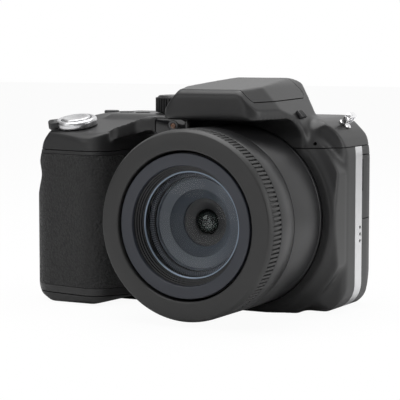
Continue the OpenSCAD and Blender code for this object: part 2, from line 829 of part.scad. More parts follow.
module lens_chassis() {
  color("#26272a") difference() {
    union() {
      lengthwise(-plate_front, -plate_back)
        rounded_rect(-chassis_half, chassis_low, chassis_half, seam_h + chassis_rise, chassis_corner);
      rod_y(-plate_front, sensor_y, tunnel_r, 0, lens_h);
      for (x = [-post_x, post_x], z = post_z) rod_y(-plate_back, board_y, post_r, x, z);
      for (a = pillar_angles)
        translate([pillar_r * cos(a), 0, lens_h + pillar_r * sin(a)]) rotate([90, 0, 0])
          translate([0, 0, plate_back]) cylinder(r = 1.1, h = base_back - plate_back);
    }
    rod_y(-far, far, tunnel_r - 1.8, 0, lens_h);
    rod_y(-far, far, shaft_r + 0.1, pinion_x, pinion_z);
  }
}
module outer_tube() {
  color("#343538") turned([[sleeve_r - tube_wall, sleeve_back], [cam_in - slide_fit, sleeve_back],
    [cam_in - slide_fit, sleeve_back + 3], [sleeve_r, sleeve_back + 3], [sleeve_r, sleeve_front],
    [sleeve_r - tube_wall, sleeve_front]]);
}
module inner_tube() {
  color("#343538") turned([[tube_in, tube_back], [sleeve_r - tube_wall - slide_fit, tube_back],
    [sleeve_r - tube_wall - slide_fit, tube_back + 2.5], [tube_r, tube_back + 2.5], [tube_r, tube_front],
    [tube_in, tube_front]]);
}
module lens_bezel() {
  color("#4a4c57") turned([[glass_r + 2, tube_front], [sleeve_r - slide_fit, tube_front],
    [sleeve_r - slide_fit, bezel_front - 0.3], [sleeve_r - 0.4, bezel_front],
    [glass_r + 2.2, bezel_front - 0.3], [glass_r + 2, bezel_front - 0.5]]);
}
module baffle_ring() {
  color("#1a1b1e") turned([[glass_r - 2.2, cone_front], [tube_in - pin_fit, cone_front],
    [tube_in - pin_fit, tube_front],
    [glass_r + 2, tube_front], [glass_r, glass_rim + 1.5], [glass_r, glass_back],
    [glass_r - 2.2, glass_back - 0.3]]);
}
module dome(r, back, rim, apex) {
  sag = apex - rim;
  R = (r * r + sag * sag) / (2 * sag);
  on_lens_axis() rotate_extrude() intersection() {
    translate([0, apex - R]) circle(R, $fn = 128);
    translate([0, back]) square([r, far]);
  }
}
module front_glass() { color("#9fb4c8", 0.5) dome(glass_r - pin_fit, glass_back, glass_rim, glass_apex); }
module inner_cone() {
  color("#8f9fb3") turned([[cell_r, cone_back], [tube_in - pin_fit, cone_back],
    [tube_in - pin_fit, cone_front],
    [cell_r + 6.9, cone_front], [cell_r + 3.4, cone_front - 0.9], [cell_r + 3.1, cone_front - 1.6],
    [cell_r + 0.1, cone_front - 4.4],
    [cell_r, cone_front - 4.6]]);
}
module iris_unit() {
  color("#101012") turned([[bulb_r, cone_back], [cell_r, cone_back], [cell_r, cone_front - 5.4],
    [cell_r - 1.2, cone_front - 5.4], [bulb_r, cone_front - 6.2]]);
}
module second_glass() {
  color("#5f7f8a", 0.6) dome(bulb_r - pin_fit, cone_back, cone_front - 6.4, cone_front - 5.2);
}
module focus_cell() {
  color("#1e1f22") on_lens_axis() difference() {
    union() {
      cylinder(r = focus_r + 2, h = 3);
      for (side = [-1, 1]) {
        translate([side * guide_x, 0, 0]) cylinder(r = 2, h = 3);
        translate([side * guide_x / 2 - 5, -1, 0]) cube([10, 2, 3]);
      }
    }
    translate([0, 0, -1]) cylinder(r = focus_r, h = 5);
    for (side = [-1, 1]) translate([side * guide_x, 0, -1]) cylinder(r = rod_r + pin_fit, h = 5);
  }
}
module focus_glass() { color("#a8c0d0", 0.5) dome(focus_r, 0.3, 1.6, 2.8); }
module guide_rods() {
  color("#c4c6ca") for (side = [-1, 1]) rod_y(-plate_front - 2, sensor_y, rod_r, side * guide_x, lens_h);
}
module image_sensor() {
  color("#2f5a43") {
    block(-19, sensor_y, lens_h - 18, 19, sensor_y + 1.4, lens_h + 18);
    block(-4.5, sensor_y - 1.2, lens_h - 3.6, 4.5, sensor_y, lens_h + 3.6);
  }
}
module main_board() {
  color("#1f6b46") difference() {
    union() {
      lengthwise(board_y, board_y + board_t)
        rounded_rect(grip_right - 7, board_low, body_right - 4.5, seam_h - 1.5, 2);
      block(-12, board_y + board_t, lens_h - 8.5, 4, board_y + board_t + chip_t, lens_h + 7.5);
      block(10, board_y + board_t, lens_h - 4.5, 20, board_y + board_t + chip_t, lens_h + 9.5);
      block(-34, board_y - 2, lens_h + 3.5, -26, board_y, lens_h + 13.5);
    }
    for (x = [-post_x, post_x], z = post_z) rod_y(0, far, 0.8, x, z);
  }
}
module display_panel() {
  y1 = rear_depth + 0.2 - window_t;
  color("#b8c2c9") block(screen_x - screen_w / 2 + 1.5, y1 - panel_t, screen_z + 1.5,
    screen_x + screen_w / 2 - 1.5, y1, screen_z + screen_h - 1.5);
}
module display_window() {
  color("#0d0f12") lengthwise(rear_depth + 0.2 - window_t, rear_depth + 0.2)
    rounded_rect(screen_x - screen_w / 2, screen_z, screen_x + screen_w / 2, screen_z + screen_h, 1.9);
}

// Battery bay
module battery() {
  color("#4b4d52") translate([battery_x, battery_y, battery_z]) linear_extrude(battery_h)
    rounded_rect(-battery_w / 2, -battery_d / 2, battery_w / 2, battery_d / 2, 1.5);
}
module battery_box() {
  color("#232427") difference() {
    block(bay_x0 - bay_wall, bay_y0 - bay_wall, grip_wall + pin_fit,
      card_x1 + bay_wall, bay_y1 + bay_wall + 3, bay_h + bay_wall);
    block(bay_x0, bay_y0, -1, bay_x1, bay_y1, bay_h);
    block(card_x0, bay_y0, -1, card_x1, bay_y0 + card_d, card_h);
    block(bay_x0 - 0.2, bay_y0 - 0.2, -1,
      card_x1 + 0.2, door_pin_y + knuckle_r + 2 * play, grip_wall + 1);
    block(bay_x0, bay_y1 + bay_wall, 6, card_x1, far, bay_h - 4);
  }
}
module battery_door() {
  color("#2d2d2f") difference() {
    union() {
      block(bay_x0 + 0.1, bay_y0 + 0.1, 0.1, card_x1 - 0.1, door_pin_y, 0.1 + door_t);
      rod_x(bay_x0 + 0.1, card_x1 - 0.1, knuckle_r, door_pin_y, door_pin_z);
    }
    rod_x(-far, far, door_pin_r + pin_fit, door_pin_y, door_pin_z);
    block(latch_x - latch_half - play, latch_y, -1,
      latch_x + latch_half + play, latch_y + latch_d + latch_travel + 2 * play, latch_t + play);
    block(latch_x - stem_half - play, stem_y, -1,
      latch_x + stem_half + play, stem_y + stem_d + latch_travel + 2 * play, 3);
  }
}
module door_pin() {
  color("#c4c6ca") rod_x(bay_x0 - 2.4, card_x1 + 2.4, door_pin_r, door_pin_y, door_pin_z);
}
module door_latch() {
  y0 = latch_y + play;
  y1 = stem_y + play;
  color("#4a4a4d") {
    difference() {
      block(latch_x - latch_half, y0, 0.15, latch_x + latch_half, y0 + latch_d, latch_t + 0.15);
      for (k = [0:3]) block(latch_x - 3, y0 + 0.8 + k, -1, latch_x + 3, y0 + 1.2 + k, 0.35);
    }
    block(latch_x - stem_half, y1, latch_t, latch_x + stem_half, y1 + stem_d, door_t + 0.4);
    block(latch_x - stem_half - 1.2, y1, door_t + 0.3, latch_x + stem_half + 1.2, y1 + stem_d, 2.5);
  }
}

// Pop-up flash
module flash_lid() {
  color("#454547") difference() {
    union() {
      difference() {
        intersection() {
          hump_form(0);
          lid_zone(play);
        }
        hump_form(lid_t);
      }
      intersection() {
        hump_form(0);
        rod_x(-lid_hinge_half, lid_hinge_half, lid_knuckle_r, lid_pin_y, lid_pin_z);
      }
    }
    rod_x(-far, far, lid_pin_r + pin_fit, lid_pin_y, lid_pin_z);
  }
}
module flash_lamp() {
  color("#cfd2d6") intersection() {
    hump_form(lid_t);
    block(-lamp_half, lamp_front, lamp_z, lamp_half, lamp_front + lamp_depth, far);
  }
}
module flash_window() {
  color("#e8ecef") intersection() {
    hump_form(lid_t);
    block(-lamp_half, lamp_front - 0.5, lamp_z, lamp_half, lamp_front, far);
  }
}
module flash_pin() {
  half = lid_hinge_half + play + lug_w - 0.2;
  color("#c4c6ca") rod_x(-half, half, lid_pin_r, lid_pin_y, lid_pin_z);
}
module flash_switch() {
  color("#1c1c1e") on_flank() {
    translate([-1.5, -2.2, 0.15]) cube([3, 4.4, 1.1]);
    translate([-0.6, -1.1, -wall - 0.6]) cube([1.2, 2.2, wall + 1]);
    translate([-keeper / 2, -keeper / 2, -wall - 1.2]) cube([keeper, keeper, 0.9]);
  }
}
module lamp_recess() {
  lengthwise(brow_y - 1, brow_y + lamp_seat) rounded_rect(lamp_x0, lamp_z0, lamp_x1, lamp_z1, lamp_corner);
}
module lamp_bar(gap) {
  rod_y(brow_y + lamp_seat, brow_y + wall + lamp_len + gap, lamp_r + gap, lamp_x1 - lamp_len,
    (lamp_z0 + lamp_z1) / 2);
}
module lamp_window() {
  color("#0b0b0d") lengthwise(brow_y + pin_fit, brow_y + lamp_seat)
    rounded_rect(lamp_x0 + lamp_fit, lamp_z0 + lamp_fit, lamp_x1 - lamp_fit, lamp_z1 - lamp_fit, lamp_corner);
}
module focus_lamp() {
  color("#f0d9c0") lamp_bar(0);
}

// Top controls
module shutter_button() {
  color("#8b8d91") on_shutter_axis() {
    translate([0, 0, -grip_wall]) cylinder(r = shutter_r, h = grip_wall + shutter_rise);
    translate([0, 0, -grip_wall - 1.6]) cylinder(r = 2, h = 2);
  }
}
module zoom_lever() {
  color("#b9bbbf") on_shutter_axis() difference() {
    union() {
      translate([0, 0, 0.3]) cylinder(r = lever_r, h = lever_h);
      rotate(lever_angle) translate([lever_r - 1.5, -3, 0.5]) cube([4.6, 6, lever_h - 0.8]);
    }
    translate([0, 0, -1]) cylinder(r = bush_r + pin_fit, h = 2.7);
    translate([0, 0, -1]) cylinder(r = shutter_r + play, h = far);
    for (k = [0:3]) rotate(lever_angle) translate([lever_r + 2.6, -2.3 + k * 1.4, 1]) cube([2, 0.5, 4]);
  }
}
module mode_dial() {
  color("#2b2b2d") translate([dial_at.x, dial_at.y, shoulder_h]) {
    translate([0, 0, 0.3]) linear_extrude(dial_h)
      polygon([for (k = [0:dial_ribs - 1]) each
        [rib_at(dial_r - 0.4, (k - 0.3) * 360 / dial_ribs), rib_at(dial_r, (k - 0.15) * 360 / dial_ribs),
         rib_at(dial_r, (k + 0.15) * 360 / dial_ribs), rib_at(dial_r - 0.4, (k + 0.3) * 360 / dial_ribs)]]);
    translate([0, 0, 0.2 + dial_h]) cylinder(r = dial_r - 1, h = 0.5);
    translate([0, 0, -grip_wall - 2]) cylinder(r = dial_post_r, h = grip_wall + 3);
  }
}
module top_button(at, rise) {
  translate([at.x, at.y, shoulder_h - grip_wall - 1]) {
    cylinder(r = button_r, h = grip_wall + 1 + rise);
    cylinder(r = button_flange, h = 0.7);
  }
}
module power_button() { color("#3f4043") top_button(power_at, 1); }
module burst_button() { color("#3f4043") top_button(burst_at, 1); }
module record_button() { color("#7d7f83") top_button(record_at, 1.3); }

// Rear controls
module rear_button(at) {
  y0 = rear_depth - grip_wall - 1;
  rod_y(y0, rear_depth + button_reach, button_r, at.x, at.y);
  rod_y(y0, y0 + 0.7, button_flange, at.x, at.y);
}
module menu_button() { color("#2f2f32") rear_button(menu_at); }
module play_button() { color("#2f2f32") rear_button(play_at); }
module info_button() { color("#2f2f32") rear_button(info_at); }
module delete_button() { color("#2f2f32") rear_button(delete_at); }
module ok_button() {
  color("#38383b") rod_y(gimbal_y - 2, pad_reach + 0.3, ok_r, pad_x, pad_z);
}
module direction_pad() {
  color("#2a2a2d") difference() {
    union() {
      rod_y(rear_depth - 1.2, pad_reach, pad_r, pad_x, pad_z);
      for (side = [-1, 1])
        block(pad_x - 1.5, gimbal_y - 1.5, pad_z + side * (gimbal_r + 1.1) - 0.8,
          pad_x + 1.5, rear_depth - 1, pad_z + side * (gimbal_r + 1.1) + 0.8);
    }
    rod_y(-far, far, ok_r + 0.6, pad_x, pad_z);
    translate([pad_x, gimbal_y, pad_z - far / 2]) cylinder(r = stub_r + pin_fit, h = far);
  }
}
module pad_gimbal() {
  color("#8d9096") difference() {
    union() {
      rod_y(gimbal_y - 1, gimbal_y + 1, gimbal_r, pad_x, pad_z);
      rod_x(pad_x - gimbal_r - 2.6, pad_x + gimbal_r + 2.6, stub_r, gimbal_y, pad_z);
      translate([pad_x, gimbal_y, pad_z - gimbal_r - 1.8]) cylinder(r = stub_r, h = 2 * gimbal_r + 3.6);
    }
    rod_y(-far, far, ok_r + 0.8, pad_x, pad_z);
  }
}

front_cover();
rear_cover();
top_cover();
grip_base();
grip_skin();
thumb_rest();
side_trim();
port_door();
port_block();
case_screws();
strap_lugs();
tripod_socket();
barrel_base();
barrel_front();
rib_band();
front_ring();
lens_chassis();
cam_ring();
zoom_pinion();
zoom_motor();
outer_tube();
inner_tube();
lens_bezel();
front_glass();
baffle_ring();
inner_cone();
iris_unit();
second_glass();
focus_cell();
focus_glass();
guide_rods();
image_sensor();
main_board();
display_panel();
display_window();
battery();
battery_box();
battery_door();
door_pin();
door_latch();
flash_lid();
flash_lamp();
flash_window();
flash_pin();
flash_switch();
focus_lamp();
lamp_window();
shutter_button();
zoom_lever();
mode_dial();
power_button();
burst_button();
record_button();
menu_button();
play_button();
info_button();
delete_button();
ok_button();
direction_pad();
pad_gimbal();
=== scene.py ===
"""Looks of a bridge camera: moulded shells, rubber grip, lens, controls and a plain studio."""
import json
import math

import bpy
import numpy as np
from bpy.props import FloatProperty, FloatVectorProperty, IntProperty, PointerProperty
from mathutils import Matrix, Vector


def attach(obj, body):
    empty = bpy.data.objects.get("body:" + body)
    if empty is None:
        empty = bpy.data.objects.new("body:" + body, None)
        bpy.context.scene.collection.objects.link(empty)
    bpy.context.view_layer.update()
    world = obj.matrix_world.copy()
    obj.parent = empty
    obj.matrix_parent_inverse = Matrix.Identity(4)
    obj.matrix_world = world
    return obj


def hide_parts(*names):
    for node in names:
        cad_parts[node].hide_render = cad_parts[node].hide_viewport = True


bl_info = {
    "name": "Bridge camera",
    "version": (1, 0, 0),
    "blender": (4, 5, 0),
    "location": "3D View > Sidebar > Camera",
    "description": "Dresses the packed camera with moulded shells, rubber, lens rings, controls and a studio",
    "category": "Object",
}

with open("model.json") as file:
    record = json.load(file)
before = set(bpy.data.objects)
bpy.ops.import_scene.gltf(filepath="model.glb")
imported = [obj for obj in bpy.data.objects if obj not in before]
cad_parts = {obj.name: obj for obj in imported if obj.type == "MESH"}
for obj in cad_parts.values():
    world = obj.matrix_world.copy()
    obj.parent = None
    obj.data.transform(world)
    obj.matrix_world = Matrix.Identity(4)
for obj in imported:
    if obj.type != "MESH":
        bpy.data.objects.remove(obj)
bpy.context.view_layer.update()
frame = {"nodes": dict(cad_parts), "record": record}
MM = 0.001
LENS_H = 34.5
FAR = 200.0

# Outlines of the body in millimetres: two coordinates and the corner's radius
MAIN_PLAN = [(-60, -13, 0), (26, -13, 8), (37.5, -6, 5), (37.5, 26.5, 12), (-60, 26.5, 0)]
MAIN_FACE = [(-60, 0, 0), (37.5, 0, 9.5), (37.5, 70, 13), (-60, 70, 0)]
MAIN_SIDE = [(-13, 0, 10), (26.5, 0, 4), (26.5, 70, 5), (-13, 70, 9)]
GRIP_PLAN = [(-82, 26.5, 12), (-82, -28, 12), (-50, -34, 9), (-37, -11, 0), (-37, 26.5, 0)]
GRIP_FACE = [(-82, 0, 8), (-37, 0, 0), (-37, 70, 0), (-66, 70, 16), (-81.6, 62, 8),
             (-81.6, 54, 3), (-80, 46, 7), (-82, 37, 10)]
GRIP_SIDE = [(-34, 0, 6), (26.5, 0, 4), (26.5, 70, 5), (0, 70, 25), (-33.7, 62.8, 6), (-33.7, 55.5, 3),
             (-32.3, 46.5, 8), (-34, 37, 10)]
HUMP_FACE = [(-29, 56, 0), (29, 56, 0), (24.6, 70, 6), (12.2, 84.2, 10), (-12.2, 84.2, 10), (-24.6, 70, 6)]
HUMP_PLAN = [(-17.5, -40, 6), (17.5, -40, 6), (24.6, -18, 0), (30, -10, 0), (25.5, -2, 6), (10, 12.1, 5),
             (-10, 12.1, 5), (-25.5, -2, 6), (-30, -10, 0), (-24.6, -18, 0)]
HUMP_SIDE = [(-16, 56, 0), (14.1, 56, 0), (13.1, 70, 0), (8, 84.2, 6), (-40, 80.2, 3), (-40, 69.6, 1.8), (-16, 70.2, 8)]
BROW_PLAN = [(-50, 0, 0), (-47, -31, 3), (-37, -24, 0), (-16, -24, 0), (-16, 0, 0)]
BROW_FACE = [(-52, 57, 0), (-44, 61.5, 6), (-33, 64.6, 0), (-18, 65.8, 0), (-15, 70, 0), (-34, 70, 12),
             (-52, 62.5, 0)]
BROW_SIDE = [(-31.5, 56, 0), (0, 56, 0), (0, 70, 0), (-22, 70, 6), (-31.5, 66.5, 2)]
LAMP_HOUSE = [(-30.6, 62.6, 2), (-15.5, 62.6, 0), (-15.5, 70, 0), (-30.6, 70, 1)]
LAMP_BED = [(-29.6, 63.6, 1.2), (-16.5, 63.6, 1.2), (-16.5, 69.4, 1.2), (-29.6, 69.4, 1.2)]
LAMP_PANE = [(-29.5, 63.7, 1.1), (-16.6, 63.7, 1.1), (-16.6, 69.3, 1.1), (-29.5, 69.3, 1.1)]
# The side of the nose from its front corner, and the way that it runs back
NOSE_SIDE = [(-0.8, 72), (9.5, 84.8), (9.5, 95), (-25, 95), (-25, 72)]
NOSE_AT, NOSE_TURN = (17.5, -40, 0), math.radians(17.9)
# The body as it shows from the front right, which rounds its ends, and the lift of the grip's foot beside the barrel
BODY_TURN = math.radians(28.2)
TURNED_FACE = [(-76, -0.2, 6), (36.4, -0.2, 2.5), (39.8, 4.6, 4), (41.2, 13, 8), (41.2, 55, 6), (40, 63, 6),
               (34, 69.6, 6), (28, 90, 0), (-62, 90, 0), (-72, 71, 6), (-79.6, 60.3, 8), (-81.4, 52.5, 4),
               (-80.4, 47.5, 6), (-82.7, 38, 8), (-82.7, 7, 6), (-81, 2.6, 4)]
GRIP_LIFT = [(-58, -1), (-36, -1), (-36, 4.2)]
COLLAR = [(0, 5), (41, 5), (41, 12.2), (38.2, 13.8), (36.9, 15.3), (36.3, 15.7), (0, 15.7)]
SEAM = [(-FAR, 57), (-46, 57), (-32, 59.5), (FAR, 59.5), (FAR, FAR), (-FAR, FAR)]
LID_PLAN = [(-14.5, -37.7, 5), (14.5, -37.7, 5), (22, -31, 6), (40, -24, 0), (40, 2.4, 0), (-40, 2.4, 0), (-40, -24, 0),
            (-22, -31, 6)]
LID_SIDE = [(-60, 75.4, 0), (2.4, 76.6, 3.5), (2.4, FAR, 0), (-60, FAR, 0)]

# Places of controls and pins in millimetres, and their turns
LID_PIN = (4.2, 81.6)
PORT_PIN = (35.5, 17.3)
SHUTTER_AT, SHUTTER_TURN = (-65, -21, 65.54), (math.radians(12), 0, 0)
SWITCH_AT, SWITCH_TURN = (23.73, -14.5, 71), (0, math.atan2(14.2, 12.4), 0)
LUGS = (((24.5, 5, 57), (0, math.radians(38), 0), 13.0), ((-74, 5, 57), (0, math.radians(-48), 0), 8.0))
DIAL_AT = (-35, 5, 70)
TOP_BUTTONS = {"power": (-50.4, 3, 70.4), "burst": (-57.9, 3.5, 70.4), "record": (-65.5, 5, 70.6)}
SCREWS = ((28, -1), (28, 20), (-28, -6), (-28, 20))
PAD_AT = (-59, 27)
REAR_BUTTONS = {"menu": (-66, 43.5), "play": (-52, 43.5), "info": (-66, 10.5), "delete": (-52, 10.5)}


class CAMERA_PG_shell(bpy.types.PropertyGroup):
    """Sizes and finishes of the moulded shells"""
    voxel: FloatProperty(name="Mesh step", description="Grid step of the moulded form", default=0.0006,
                         min=0.0004, max=0.002, unit='LENGTH')
    seam: FloatProperty(name="Seam gap", description="Gap drawn between two covers", default=0.0003, unit='LENGTH')
    wall: FloatProperty(name="Wall", description="Wall of the covers", default=0.0018, unit='LENGTH')
    blend: IntProperty(name="Blend", description="Passes that soften the hollows between forms", default=60, min=0)
    plastic: FloatVectorProperty(name="Plastic", description="Colour of the moulded covers", subtype='COLOR',
                                 size=3, default=(0.014, 0.014, 0.0145))
    rubber: FloatVectorProperty(name="Rubber", description="Colour of the grip's rubber", subtype='COLOR',
                                size=3, default=(0.010, 0.010, 0.0102))
    band: FloatVectorProperty(name="Band", description="Colour of the side band", subtype='COLOR',
                              size=3, default=(0.72, 0.72, 0.73))


class CAMERA_PG_lens(bpy.types.PropertyGroup):
    """Finishes of the lens"""
    ribs: IntProperty(name="Ribs", description="Ribs round the barrel", default=130, min=40)
    steps: IntProperty(name="Steps", description="Steps of a turned ring", default=160, min=48)
    barrel: FloatVectorProperty(name="Barrel", description="Colour of the fixed barrel", subtype='COLOR',
                                size=3, default=(0.019, 0.019, 0.020))
    ring: FloatVectorProperty(name="Ring", description="Colour of the front ring", subtype='COLOR',
                              size=3, default=(0.019, 0.019, 0.019))
    bezel: FloatVectorProperty(name="Bezel", description="Colour of the satin bezel", subtype='COLOR',
                               size=3, default=(0.024, 0.027, 0.036))
    # Steel-blue tone of the wide inner ring, lightened as painted reflected light.
    cone: FloatVectorProperty(name="Cone", description="Colour of the wide inner ring", subtype='COLOR',
                              size=3, default=(0.52, 0.59, 0.68))


class CAMERA_PG_stage(bpy.types.PropertyGroup):
    """Camera and light"""
    focal: FloatProperty(name="Focal length", description="Focal length of the view, in mm", default=149.1)
    top_light: FloatProperty(name="Top light", description="Power of the softbox overhead", default=4.2, unit='POWER')
    side_light: FloatProperty(name="Side light", description="Power of the softbox on the right", default=1.1,
                              unit='POWER')
    fill_light: FloatProperty(name="Fill light", description="Power of the softbox at the front left", default=0.8,
                              unit='POWER')


# Modelling helpers

def fresh():
    """Object mode with nothing selected."""
    if bpy.context.object and bpy.context.object.mode != 'OBJECT':
        bpy.ops.object.mode_set(mode='OBJECT')
    bpy.ops.object.select_all(action='DESELECT')


def pick(obj):
    """Selects one object alone and makes it active."""
    fresh()
    obj.select_set(True)
    bpy.context.view_layer.objects.active = obj


def edit_all(obj):
    pick(obj)
    bpy.ops.object.mode_set(mode='EDIT')
    bpy.ops.mesh.select_all(action='SELECT')


def done_edit():
    bpy.ops.object.mode_set(mode='OBJECT')


def drop(*objs):
    for obj in objs:
        bpy.data.objects.remove(obj, do_unlink=True)


def twin(obj, name):
    """A copy with its own mesh."""
    pick(obj)
    bpy.ops.object.duplicate()
    copy = bpy.context.object
    copy.name = name
    return copy


def settle(obj):
    """Puts place, turn and scale into the mesh."""
    pick(obj)
    bpy.ops.object.transform_apply(location=True, rotation=True, scale=True)
    return obj


def with_corners(points, steps=7):
    """An outline's points with each corner rounded to its radius."""
    out = []
    count = len(points)
    for k, (x, y, r) in enumerate(points):
        b = Vector((x, y))
        if r == 0:
            out.append((x, y))
            continue
        back = (Vector(points[k - 1][:2]) - b).normalized()
        ahead = (Vector(points[(k + 1) % count][:2]) - b).normalized()
        half = back.angle(ahead) / 2
        middle = b + (back + ahead).normalized() * (r / math.sin(half))
        start = b + back * (r / math.tan(half)) - middle
        end = b + ahead * (r / math.tan(half)) - middle
        turn = start.angle_signed(end)
        for s in range(steps + 1):
            a = -turn * s / steps
            c, d = math.cos(a), math.sin(a)
            out.append((middle.x + start.x * c - start.y * d, middle.y + start.x * d + start.y * c))
    return out


def at(a, b, h, axis):
    """Point in metres from an outline's two coordinates and the height along its axis."""
    spot = {'X': (h, a, b), 'Y': (a, h, b), 'Z': (a, b, h)}[axis]
    return Vector(spot) * MM


def prism(name, points, axis, low, high):
    """An outline pushed along an axis, as a closed solid."""
    flat = with_corners([p if len(p) == 3 else (*p, 0) for p in points])
    fresh()
    bpy.ops.mesh.primitive_circle_add(vertices=len(flat), radius=1, fill_type='NGON')
    obj = bpy.context.object
    obj.name = name
    for v, (a, b) in zip(obj.data.vertices, flat):
        v.co = at(a, b, low, axis)
    edit_all(obj)
    bpy.ops.mesh.extrude_region_move(TRANSFORM_OT_translate={"value": at(0, 0, high - low, axis)})
    bpy.ops.mesh.select_all(action='SELECT')
    bpy.ops.mesh.normals_make_consistent(inside=False)
    done_edit()
    return obj


def box(name, low, high):
    """A block between two corners."""
    corners = [(low[0], low[1]), (high[0], low[1]), (high[0], high[1]), (low[0], high[1])]
    return prism(name, corners, 'Z', low[2], high[2])


def rod(name, axis, low, high, a, b, radius, steps=64):
    """A round bar along an axis."""
    ring = [(a + radius * math.cos(2 * math.pi * k / steps), b + radius * math.sin(2 * math.pi * k / steps))
            for k in range(steps)]
    return prism(name, ring, axis, low, high)


def carve(obj, tool, how='DIFFERENCE', keep=False):
    """Cuts one solid with another and applies it."""
    pick(obj)
    cut = obj.modifiers.new("cut", 'BOOLEAN')
    cut.operation = how
    cut.solver = 'MANIFOLD'
    cut.object = tool
    bpy.ops.object.modifier_apply(modifier=cut.name)
    if not keep:
        drop(tool)
    if not obj.data.polygons:
        raise RuntimeError(f"{obj.name} is empty after {how}")
    return obj


def grid(obj, step):
    """Fuses a solid on an even grid."""
    pick(obj)
    mesh = obj.modifiers.new("grid", 'REMESH')
    mesh.mode = 'VOXEL'
    mesh.voxel_size = step
    bpy.ops.object.modifier_apply(modifier=mesh.name)
    return obj


def relax(obj, passes, factor=0.5, group=None):
    """Smooths a mesh, where a group says."""
    pick(obj)
    soft = obj.modifiers.new("relax", 'SMOOTH')
    soft.factor = factor
    soft.iterations = passes
    if group:
        soft.vertex_group = group
    bpy.ops.object.modifier_apply(modifier=soft.name)
    return obj


def inside_copy(obj, name, depth, step):
    """A copy whose surface lies a depth under the first one."""
    copy = twin(obj, name)
    sink = copy.modifiers.new("sink", 'DISPLACE')
    sink.strength = -depth
    sink.mid_level = 0
    bpy.ops.object.modifier_apply(modifier=sink.name)
    return grid(copy, step)


def mark_hollows(obj, name, spread):
    """Weights the vertices in concave bends and round them."""
    mesh = obj.data
    count = len(mesh.vertices)
    place = np.empty(count * 3)
    mesh.vertices.foreach_get("co", place)
    normal = np.empty(count * 3)
    mesh.vertices.foreach_get("normal", normal)
    place, normal = place.reshape(-1, 3), normal.reshape(-1, 3)
    edges = np.empty(len(mesh.edges) * 2, dtype=int)
    mesh.edges.foreach_get("vertices", edges)
    a, b = edges.reshape(-1, 2).T
    ties = np.bincount(a, minlength=count) + np.bincount(b, minlength=count)
    lean = place[b] - place[a]
    rise = np.bincount(a, (lean * normal[a]).sum(1), count) - np.bincount(b, (lean * normal[b]).sum(1), count)
    weight = (rise / ties > 0.00002).astype(float)
    for _ in range(spread):
        near = np.bincount(a, weight[b], count) + np.bincount(b, weight[a], count)
        weight = np.maximum(weight * 0.97, near / ties)
    weight = np.clip(weight * 1.6, 0, 1)
    group = obj.vertex_groups.new(name=name)
    for level in range(1, 11):
        chosen = np.nonzero(np.round(weight * 10) == level)[0]
        if len(chosen):
            group.add(chosen.tolist(), level / 10, 'REPLACE')
    return weight


def lathe(name, profile, steps):
    """A profile of radius and height, in millimetres, spun round the upright axis."""
    fresh()
    bpy.ops.mesh.primitive_circle_add(vertices=len(profile), radius=1, fill_type='NOTHING')
    obj = bpy.context.object
    obj.name = name
    for v, (r, h) in zip(obj.data.vertices, profile):
        v.co = Vector((r, 0, h)) * MM
    edit_all(obj)
    bpy.ops.mesh.spin(steps=steps, angle=2 * math.pi, center=(0, 0, 0), axis=(0, 0, 1))
    bpy.ops.mesh.select_all(action='SELECT')
    bpy.ops.mesh.remove_doubles(threshold=0.000002)
    bpy.ops.mesh.normals_make_consistent(inside=False)
    done_edit()
    return obj


def place(obj, spot, turn=(0, 0, 0)):
    """Turns a piece, moves it to a spot in millimetres and settles it."""
    obj.rotation_euler = turn
    obj.location = Vector(spot) * MM
    return settle(obj)


def turned(name, profile, steps):
    """A profile of radius and distance forward, spun round the lens axis."""
    return place(lathe(name, profile, steps), (0, 0, LENS_H), (math.pi / 2, 0, 0))


def round_edges(obj, width, segments=2, angle=40):
    """Rounds the sharp edges, with a width in millimetres."""
    pick(obj)
    soft = obj.modifiers.new("round", 'BEVEL')
    soft.width = width * MM
    soft.segments = segments
    soft.limit_method = 'ANGLE'
    soft.angle_limit = math.radians(angle)
    bpy.ops.object.modifier_apply(modifier=soft.name)
    return obj


def spread_round(obj, count, centre=(0, 0, 0), axis=(0, 0, 1)):
    """Copies the mesh round an axis through a point in millimetres."""
    edit_all(obj)
    bpy.ops.mesh.spin(steps=count, angle=2 * math.pi, dupli=True, center=Vector(centre) * MM, axis=axis)
    bpy.ops.mesh.select_all(action='SELECT')
    bpy.ops.mesh.remove_doubles(threshold=0.000001)
    done_edit()
    return obj


def joined(obj, *others):
    """Joins other meshes to the first one."""
    fresh()
    for other in others:
        other.select_set(True)
    obj.select_set(True)
    bpy.context.view_layer.objects.active = obj
    bpy.ops.object.join()
    return obj


def paint(obj, index, test):
    """Gives another material to the faces round the lens axis whose radius and distance forward pass a test."""
    for face in obj.data.polygons:
        x, y, z = face.center / MM
        if test(math.hypot(x, z - LENS_H), -y):
            face.material_index = index
    return obj


def smooth_by(obj, degrees):
    pick(obj)
    bpy.ops.object.shade_smooth_by_angle(angle=math.radians(degrees))
    return obj


def dress(obj, body, finish, nodes=(), angle=32):
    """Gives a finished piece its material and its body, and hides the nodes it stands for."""
    smooth_by(obj, angle)
    obj.data.materials.clear()
    for m in finish if isinstance(finish, (list, tuple)) else (finish,):
        obj.data.materials.append(m)
    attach(obj, body)
    if nodes:
        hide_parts(*nodes)
    return obj


# Finishes

def put(tree, kind, spot=(0, 0), **values):
    """Adds a shader node and sets its properties."""
    node = tree.nodes.new(kind)
    node.location = spot
    for key, value in values.items():
        setattr(node, key, value)
    return node


def new_group(name, sockets):
    """A shader node group with named inputs and outputs."""
    tree = bpy.data.node_groups.new(name, 'ShaderNodeTree')
    for label, way, kind, default in sockets:
        socket = tree.interface.new_socket(name=label, in_out=way, socket_type=kind)
        if default is not None:
            socket.default_value = default
    return tree, put(tree, 'NodeGroupInput', (-900, 0)), put(tree, 'NodeGroupOutput', (700, 0))


